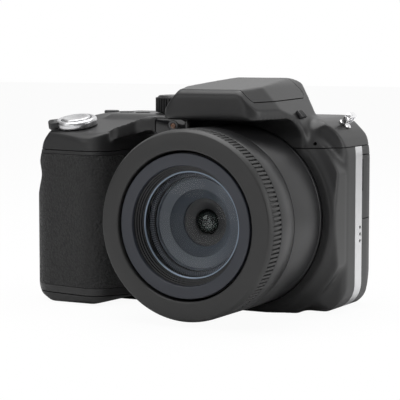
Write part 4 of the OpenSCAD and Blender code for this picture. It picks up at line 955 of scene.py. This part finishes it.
class CAMERA_OT_top_controls(bpy.types.Operator):
    """Makes the shutter button, the zoom lever, the mode dial and the buttons on top"""
    bl_idname = "camera_part.top_controls"
    bl_label = "Top controls"

    def execute(self, context):
        silver = brushed("satin silver", (0.66, 0.66, 0.67), 0.28, (1, 0.04, 1))
        dark = plastic("control black", (0.017, 0.017, 0.018), 0.38, 3600, 0.08)
        grey = plastic("control grey", (0.045, 0.045, 0.047), 0.36, 3600, 0.06)
        shutter = lathe("shutter_cap", [
            (0, -4.8), (2, -4.8), (2, -3.2), (5.4, -3.2), (5.4, 2.85), (5.3, 3.2), (5.05, 3.45), (4.6, 3.58),
            (4.0, 3.5), (2.9, 3.25), (1.6, 3.1), (0, 3.06)], 72)
        dress(place(shutter, SHUTTER_AT, SHUTTER_TURN), "shutter_button", silver, ["shutter_button"])
        ring = lathe("lever_ring", [
            (6.55, 0.35), (7.5, 0.35), (7.72, 0.45), (7.8, 0.7), (7.8, 1.9), (7.6, 2.5), (7.2, 2.95), (6.8, 3.1),
            (6.1, 3.1), (5.8, 2.95), (5.72, 2.7), (5.72, 1.75), (6.55, 1.75)], 96)
        dress(place(ring, SHUTTER_AT, SHUTTER_TURN), "zoom_lever", silver, ["zoom_lever"])
        tongue = [(6.7, -3.4, 0), (9.9, -3.4, 0.8), (10.85, 0, 7), (9.9, 3.4, 0.8), (6.7, 3.4, 0)]
        tab = prism("lever_tab", tongue, 'Z', 0.5, 2.9)
        for k in range(5):
            carve(tab, box("groove", (8.3, 1.25 * k - 2.72, 0.9), (14, 1.25 * k - 2.28, 4)))
        round_edges(tab, 0.16)
        place(tab, (0, 0, 0), (0, 0, math.radians(215)))
        dress(place(tab, SHUTTER_AT, SHUTTER_TURN), "zoom_lever", dark, ())
        dial = lathe("dial_drum", [
            (0, -5.2), (4, -5.2), (4, 0.3), (8.7, 0.3), (8.95, 0.5), (8.95, 5.8), (8.8, 6.2), (8.5, 6.4), (8.4, 6.62),
            (8.15, 6.8), (7.8, 6.86), (7.1, 6.8), (6.9, 6.7), (0, 6.7)], 132)
        rib = prism("dial_ribs", [(8.7, -0.42), (9.45, -0.22), (9.6, 0), (9.45, 0.22), (8.7, 0.42)], 'Z', 0.55, 6.0)
        spread_round(round_edges(rib, 0.1, 1, 50), 44)
        dress(place(joined(dial, rib), DIAL_AT), "mode_dial", dark, ["mode_dial"])
        mark = box("dial_marks", (5.2, -0.14, 6.69), (6.5, 0.14, 6.73))
        spread_round(mark, 12)
        white = plastic("white print", (0.75, 0.75, 0.75), 0.5, 3000, 0.05)
        dress(place(mark, DIAL_AT), "mode_dial", white, ())
        for name, (x, y, top) in TOP_BUTTONS.items():
            cap = lathe(f"{name}_cap", [
                (0, 65.8), (3.5, 65.8), (3.5, 66.5), (2.9, 66.5), (2.9, top - 0.3), (2.78, top - 0.1), (2.5, top),
                (1.6, top - 0.1), (0, top - 0.16)], 48)
            dress(place(cap, (x, y, 0)), f"{name}_button", grey, [f"{name}_button"])
        return {'FINISHED'}


class CAMERA_OT_rear_controls(bpy.types.Operator):
    """Makes the display window, the direction pad and the buttons on the back"""
    bl_idname = "camera_part.rear_controls"
    bl_label = "Rear controls"

    def execute(self, context):
        dark = plastic("control black", (0.017, 0.017, 0.018), 0.38, 3600, 0.08)
        facing = (-math.pi / 2, 0, 0)
        outline = [(-42.5, 6, 1.9), (24.5, 6, 1.9), (24.5, 56, 1.9), (-42.5, 56, 1.9)]
        pane = prism("display_pane", outline, 'Y', 25.1, 26.7)
        border = plastic("window border", (0.003, 0.003, 0.0035), 0.10, 3000, 0.0, 0.5)
        dress(pane, "camera_body", border, ["display_window"])
        outline = [(-40, 8.5, 0.6), (22, 8.5, 0.6), (22, 53.5, 0.6), (-40, 53.5, 0.6)]
        face = prism("display_face", outline, 'Y', 26.5, 26.74)
        dim = plastic("dim display", (0.010, 0.012, 0.016), 0.12, 3000, 0.0, 0.5)
        dress(face, "camera_body", dim, ())
        for name, (x, z) in REAR_BUTTONS.items():
            cap = lathe(f"{name}_cap", [
                (0, 22.3), (3.5, 22.3), (3.5, 23.0), (2.9, 23.0), (2.9, 27.3), (2.78, 27.5), (2.5, 27.6), (1.6, 27.5),
                (0, 27.44)], 48)
            dress(place(cap, (x, 0, z), facing), f"{name}_button", dark, [f"{name}_button"])
        pad = lathe("pad_ring", [
            (4.8, 25.3), (10, 25.3), (10, 27.4), (9.88, 27.7), (9.6, 27.86), (9.2, 27.9), (7.4, 27.55), (5.6, 27.45),
            (5.1, 27.5), (4.88, 27.45), (4.8, 27.3)], 96)
        place(pad, (PAD_AT[0], 0, PAD_AT[1]), facing)
        for side in (-1, 1):
            z = PAD_AT[1] + side * 9.1
            post = box("pad_post", (PAD_AT[0] - 1.5, 19.8, z - 0.8), (PAD_AT[0] + 1.5, 25.5, z + 0.8))
            carve(post, rod("pivot", 'Z', z - 2, z + 2, PAD_AT[0], 21.3, 0.84, 32))
            carve(pad, post, 'UNION')
        dress(pad, "direction_pad", dark, ["direction_pad"])
        arrow = prism("pad_marks", [(-0.75, 7.6), (0.75, 7.6), (0, 8.7)], 'Z', 27.6, 27.9)
        spread_round(arrow, 4)
        place(arrow, (PAD_AT[0], 0, PAD_AT[1]), facing)
        dress(arrow, "direction_pad", plastic("white print", (0.75, 0.75, 0.75)), ())
        middle = lathe("ok_cap", [
            (0, 19.3), (4.2, 19.3), (4.2, 27.85), (4.08, 28.08), (3.8, 28.2), (2.4, 28.08), (0, 28.0)], 64)
        dress(place(middle, (PAD_AT[0], 0, PAD_AT[1]), facing), "ok_button", dark, ["ok_button"])
        return {'FINISHED'}


class CAMERA_OT_fittings(bpy.types.Operator):
    """Makes the strap lugs, the flash switch and the lamp window"""
    bl_idname = "camera_part.fittings"
    bl_label = "Fittings"

    def execute(self, context):
        chrome = brushed("chrome wire", (0.86, 0.86, 0.87), 0.12, (1, 1, 1))
        lugs = []
        for spot, turn, seat in LUGS:
            low, high = seat + 0.4, seat + 5.0
            outline = [(-3.2, low, 1.8), (3.2, low, 1.8), (3.2, high, 1.8), (-3.2, high, 1.8)]
            loop = prism("strap_loops", outline, 'X', -0.9, 0.9)
            carve(loop, prism("eye", [(-2.1, low + 1.1, 0.9), (2.1, low + 1.1, 0.9), (2.1, high - 1.1, 0.9),
                                      (-2.1, high - 1.1, 0.9)], 'X', -3, 3))
            round_edges(loop, 0.42, 3)
            stem = lathe("stem", [
                (0, seat - 2.2), (1.6, seat - 2.2), (1.6, seat + 0.1), (2.3, seat + 0.15), (2.4, seat + 0.35),
                (2.1, seat + 0.6), (0, seat + 0.65)], 32)
            lugs.append(place(joined(loop, stem), spot, turn))
        dress(joined(*lugs), "camera_body", chrome, ["strap_lugs"])
        slider = box("flash_slider", (-1.5, -2.2, 0.15), (1.5, 2.2, 1.25))
        for y in (-1.2, -0.4, 0.4, 1.2):
            carve(slider, box("groove", (-3, y - 0.16, 0.9), (3, y + 0.16, 2)))
        round_edges(slider, 0.14)
        carve(slider, box("stem", (-0.6, -1.1, -2.4), (0.6, 1.1, 0.5)), 'UNION')
        carve(slider, box("keeper", (-1.6, -1.6, -3.0), (1.6, 1.6, -2.1)), 'UNION')
        dress(place(slider, SWITCH_AT, SWITCH_TURN), "flash_switch",
              plastic("control black", (0.017, 0.017, 0.018), 0.38, 3600, 0.08), ["flash_switch"])
        pane = prism("lamp_pane", LAMP_PANE, 'Y', -24.05, -23.4)
        round_edges(pane, 0.15)
        black = plastic("lamp glass", (0.004, 0.004, 0.005), 0.08, 3000, 0.0, 0.6)
        dress(pane, "camera_body", black, ["lamp_window"])
        spot, facing = (-22.2, -24.0, 66.7), (math.pi / 2, 0, 0)
        eye = lathe("lamp_eye", [(0, -0.2), (1.0, -0.2), (1.0, 0.03), (0.85, 0.12), (0.5, 0.2), (0, 0.22)], 40)
        amber = plastic("amber lamp", (0.16, 0.07, 0.035), 0.12, 3000, 0.0, 0.6)
        dress(place(eye, spot, facing), "camera_body", amber, ())
        seat = lathe("lamp_seat", [(1.1, -0.2), (2.1, -0.2), (2.1, 0.08), (1.95, 0.16), (1.3, 0.1), (1.1, 0.02)], 40)
        grey = plastic("lamp seat", (0.03, 0.03, 0.032), 0.15, 3000, 0.0, 0.6)
        dress(place(seat, spot, facing), "camera_body", grey, ())
        return {'FINISHED'}


class CAMERA_OT_inside(bpy.types.Operator):
    """Gives the solids that no piece stands for their finishes"""
    bl_idname = "camera_part.inside"
    bl_label = "Inside"

    def execute(self, context):
        shell, lens = context.scene.camera_shell, context.scene.camera_lens
        finishes = {
            "shell": plastic("plain moulding", shell.plastic, 0.42, 3600, 0.1),
            "rubber": rubber("grained rubber", shell.rubber),
            "barrel": plastic("tube lacquer", lens.ring, 0.34, 4200, 0.05),
            "dark": plastic("inner black", (0.014, 0.014, 0.015), 0.5, 3000, 0.1),
            "silver": brushed("satin silver", (0.66, 0.66, 0.67), 0.28, (1, 0.04, 1)),
            "steel": brushed("machined steel", (0.56, 0.57, 0.58), 0.3, (0.1, 1, 1)),
            "bezel": plastic("satin bezel", lens.bezel),
            "cone": plastic("slate cone", (0.060, 0.070, 0.085)),
            "glass": glass("inner glass", (0.95, 0.98, 0.97), 1.52, 260),
            "window": plastic("window black", (0.006, 0.006, 0.007), 0.15),
            "clear": plastic("milky resin", (0.62, 0.63, 0.62), 0.3),
            "board": plastic("board green", (0.012, 0.075, 0.035), 0.4),
            "grey": plastic("grey resin", (0.22, 0.22, 0.23), 0.42),
            "cell": plastic("cell wrap", (0.06, 0.065, 0.075), 0.4),
        }
        for part in frame["record"]["subparts"]:
            solid = frame["nodes"][part["node"]]
            solid.data.materials.clear()
            solid.data.materials.append(finishes[part["material_slot"]])
        return {'FINISHED'}


class CAMERA_OT_stage(bpy.types.Operator):
    """Sets the floor, the backdrop, the lights and the view"""
    bl_idname = "camera_part.stage"
    bl_label = "Stage"

    def execute(self, context):
        settings = context.scene.camera_stage
        fresh()
        bpy.ops.mesh.primitive_plane_add(size=6, location=(0, 0, -0.0002))
        floor = context.object
        floor.name = "studio_floor"
        floor.data.materials.append(self.paper())
        self.sky(context)
        self.softbox(context, "top_box", (-0.05, 0.02, 0.62), (0, 0, 0.05), 0.80, 0.60, settings.top_light)
        self.softbox(context, "side_box", (0.62, 0.08, 0.22), (0.01, -0.01, 0.035), 0.30, 0.40, settings.side_light)
        self.softbox(context, "fill_box", (-0.45, -0.70, 0.36), (-0.03, -0.02, 0.04), 0.40, 0.40, settings.fill_light)
        card = settings.fill_light / 2
        self.softbox(context, "front_card", (-0.03, -0.80, 0.16), (0, -0.04, 0.035), 0.25, 0.35, card)
        look = Vector((-0.47064, 0.87736, -0.09341))
        facing = look.to_track_quat('-Z', 'Y').to_euler()
        bpy.ops.object.camera_add(location=(0.26870, -0.54577, 0.09589), rotation=facing)
        view = context.object
        view.name = "view"
        view.data.lens = settings.focal
        view.data.sensor_width = 36
        view.data.clip_start = 0.01
        view.data.clip_end = 20
        context.scene.camera = view
        context.scene.view_settings.view_transform = 'Standard'
        return {'FINISHED'}

    @staticmethod
    def paper():
        """White paper whose own brightness stands for most of the floor, so that shadows stay faint."""
        mat = bpy.data.materials.new("white paper")
        mat.use_nodes = True
        tree = mat.node_tree
        tree.nodes.clear()
        end = put(tree, 'ShaderNodeOutputMaterial', (500, 0))
        mix = put(tree, 'ShaderNodeMixShader', (300, 0))
        matt = put(tree, 'ShaderNodeBsdfDiffuse', (0, -100))
        matt.inputs["Color"].default_value = (0.85, 0.85, 0.85, 1)
        glow = put(tree, 'ShaderNodeEmission', (0, -250))
        rays = put(tree, 'ShaderNodeLightPath', (-300, 200))
        share = put(tree, 'ShaderNodeMath', (0, 200), operation='MULTIPLY')
        share.inputs[1].default_value = 0.95
        tree.links.new(rays.outputs["Is Camera Ray"], share.inputs[0])
        tree.links.new(share.outputs["Value"], mix.inputs["Fac"])
        tree.links.new(matt.outputs["BSDF"], mix.inputs[1])
        tree.links.new(glow.outputs["Emission"], mix.inputs[2])
        tree.links.new(mix.outputs["Shader"], end.inputs["Surface"])
        return mat

    @staticmethod
    def sky(context):
        """White backdrop to the eye and in mirrors, and a change from a dark floor to a light ceiling as light."""
        world = bpy.data.worlds.new("studio")
        world.use_nodes = True
        context.scene.world = world
        tree = world.node_tree
        tree.nodes.clear()
        end = put(tree, 'ShaderNodeOutputWorld', (600, 0))
        mix = put(tree, 'ShaderNodeMixShader', (400, 0))
        rays = put(tree, 'ShaderNodeLightPath', (0, 300))
        white = put(tree, 'ShaderNodeBackground', (100, -200))
        white.inputs["Color"].default_value = (1, 1, 1, 1)
        soft = put(tree, 'ShaderNodeBackground', (100, 0))
        place = put(tree, 'ShaderNodeTexCoord', (-900, 0))
        parts = put(tree, 'ShaderNodeSeparateXYZ', (-700, 0))
        rise = put(tree, 'ShaderNodeMapRange', (-500, 0))
        rise.inputs["From Min"].default_value = -0.1
        rise.inputs["From Max"].default_value = 0.95
        rise.inputs["To Min"].default_value = 0.05
        rise.inputs["To Max"].default_value = 0.6
        behind = put(tree, 'ShaderNodeMapRange', (-500, 300))
        behind.inputs["From Min"].default_value = 0.45
        behind.inputs["From Max"].default_value = 0.85
        mirrored = put(tree, 'ShaderNodeMath', (-300, 500), operation='MAXIMUM')
        backdrop = put(tree, 'ShaderNodeMath', (-100, 400), operation='MULTIPLY')
        shown_white = put(tree, 'ShaderNodeMath', (100, 300), operation='MAXIMUM')
        tree.links.new(place.outputs["Generated"], parts.inputs["Vector"])
        tree.links.new(parts.outputs["Z"], rise.inputs["Value"])
        tree.links.new(parts.outputs["Y"], behind.inputs["Value"])
        tree.links.new(rise.outputs["Result"], soft.inputs["Strength"])
        tree.links.new(rays.outputs["Is Glossy Ray"], mirrored.inputs[0])
        tree.links.new(rays.outputs["Is Transmission Ray"], mirrored.inputs[1])
        tree.links.new(mirrored.outputs["Value"], backdrop.inputs[0])
        tree.links.new(behind.outputs["Result"], backdrop.inputs[1])
        tree.links.new(backdrop.outputs["Value"], shown_white.inputs[0])
        tree.links.new(rays.outputs["Is Camera Ray"], shown_white.inputs[1])
        tree.links.new(shown_white.outputs["Value"], mix.inputs["Fac"])
        tree.links.new(soft.outputs["Background"], mix.inputs[1])
        tree.links.new(white.outputs["Background"], mix.inputs[2])
        tree.links.new(mix.outputs["Shader"], end.inputs["Surface"])

    @staticmethod
    def softbox(context, name, spot, aim, width, height, power):
        """A large soft light that faces a point."""
        facing = (Vector(aim) - Vector(spot)).to_track_quat('-Z', 'Y').to_euler()
        fresh()
        bpy.ops.object.light_add(type='AREA', location=spot, rotation=facing)
        lamp = context.object
        lamp.name = name
        lamp.data.shape = 'RECTANGLE'
        lamp.data.size = width
        lamp.data.size_y = height
        lamp.data.energy = power


class CAMERA_PT_panel(bpy.types.Panel):
    """Lists the steps that dress the camera"""
    bl_idname = "CAMERA_PT_panel"
    bl_label = "Bridge camera"
    bl_space_type = 'VIEW_3D'
    bl_region_type = 'UI'
    bl_category = "Camera"

    def draw(self, context):
        layout = self.layout
        for name in ("camera_shell", "camera_lens", "camera_stage"):
            group = getattr(context.scene, name)
            column = layout.column(align=True)
            for key in group.__annotations__:
                column.prop(group, key)
        for step in STEPS:
            layout.operator(step.bl_idname)


GROUPS = {"camera_shell": CAMERA_PG_shell, "camera_lens": CAMERA_PG_lens, "camera_stage": CAMERA_PG_stage}
STEPS = (CAMERA_OT_inside, CAMERA_OT_shells, CAMERA_OT_barrel, CAMERA_OT_lens, CAMERA_OT_top_controls,
         CAMERA_OT_rear_controls, CAMERA_OT_fittings, CAMERA_OT_stage)


def register():
    for kind in (*GROUPS.values(), *STEPS, CAMERA_PT_panel):
        bpy.utils.register_class(kind)
    for name, kind in GROUPS.items():
        setattr(bpy.types.Scene, name, PointerProperty(type=kind))


def unregister():
    for name in GROUPS:
        delattr(bpy.types.Scene, name)
    for kind in reversed((*GROUPS.values(), *STEPS, CAMERA_PT_panel)):
        bpy.utils.unregister_class(kind)


def main():
    """Builds everything in order."""
    register()
    for step in STEPS:
        family, name = step.bl_idname.split(".")
        getattr(getattr(bpy.ops, family), name)()


if __name__ == "__main__":
    main()
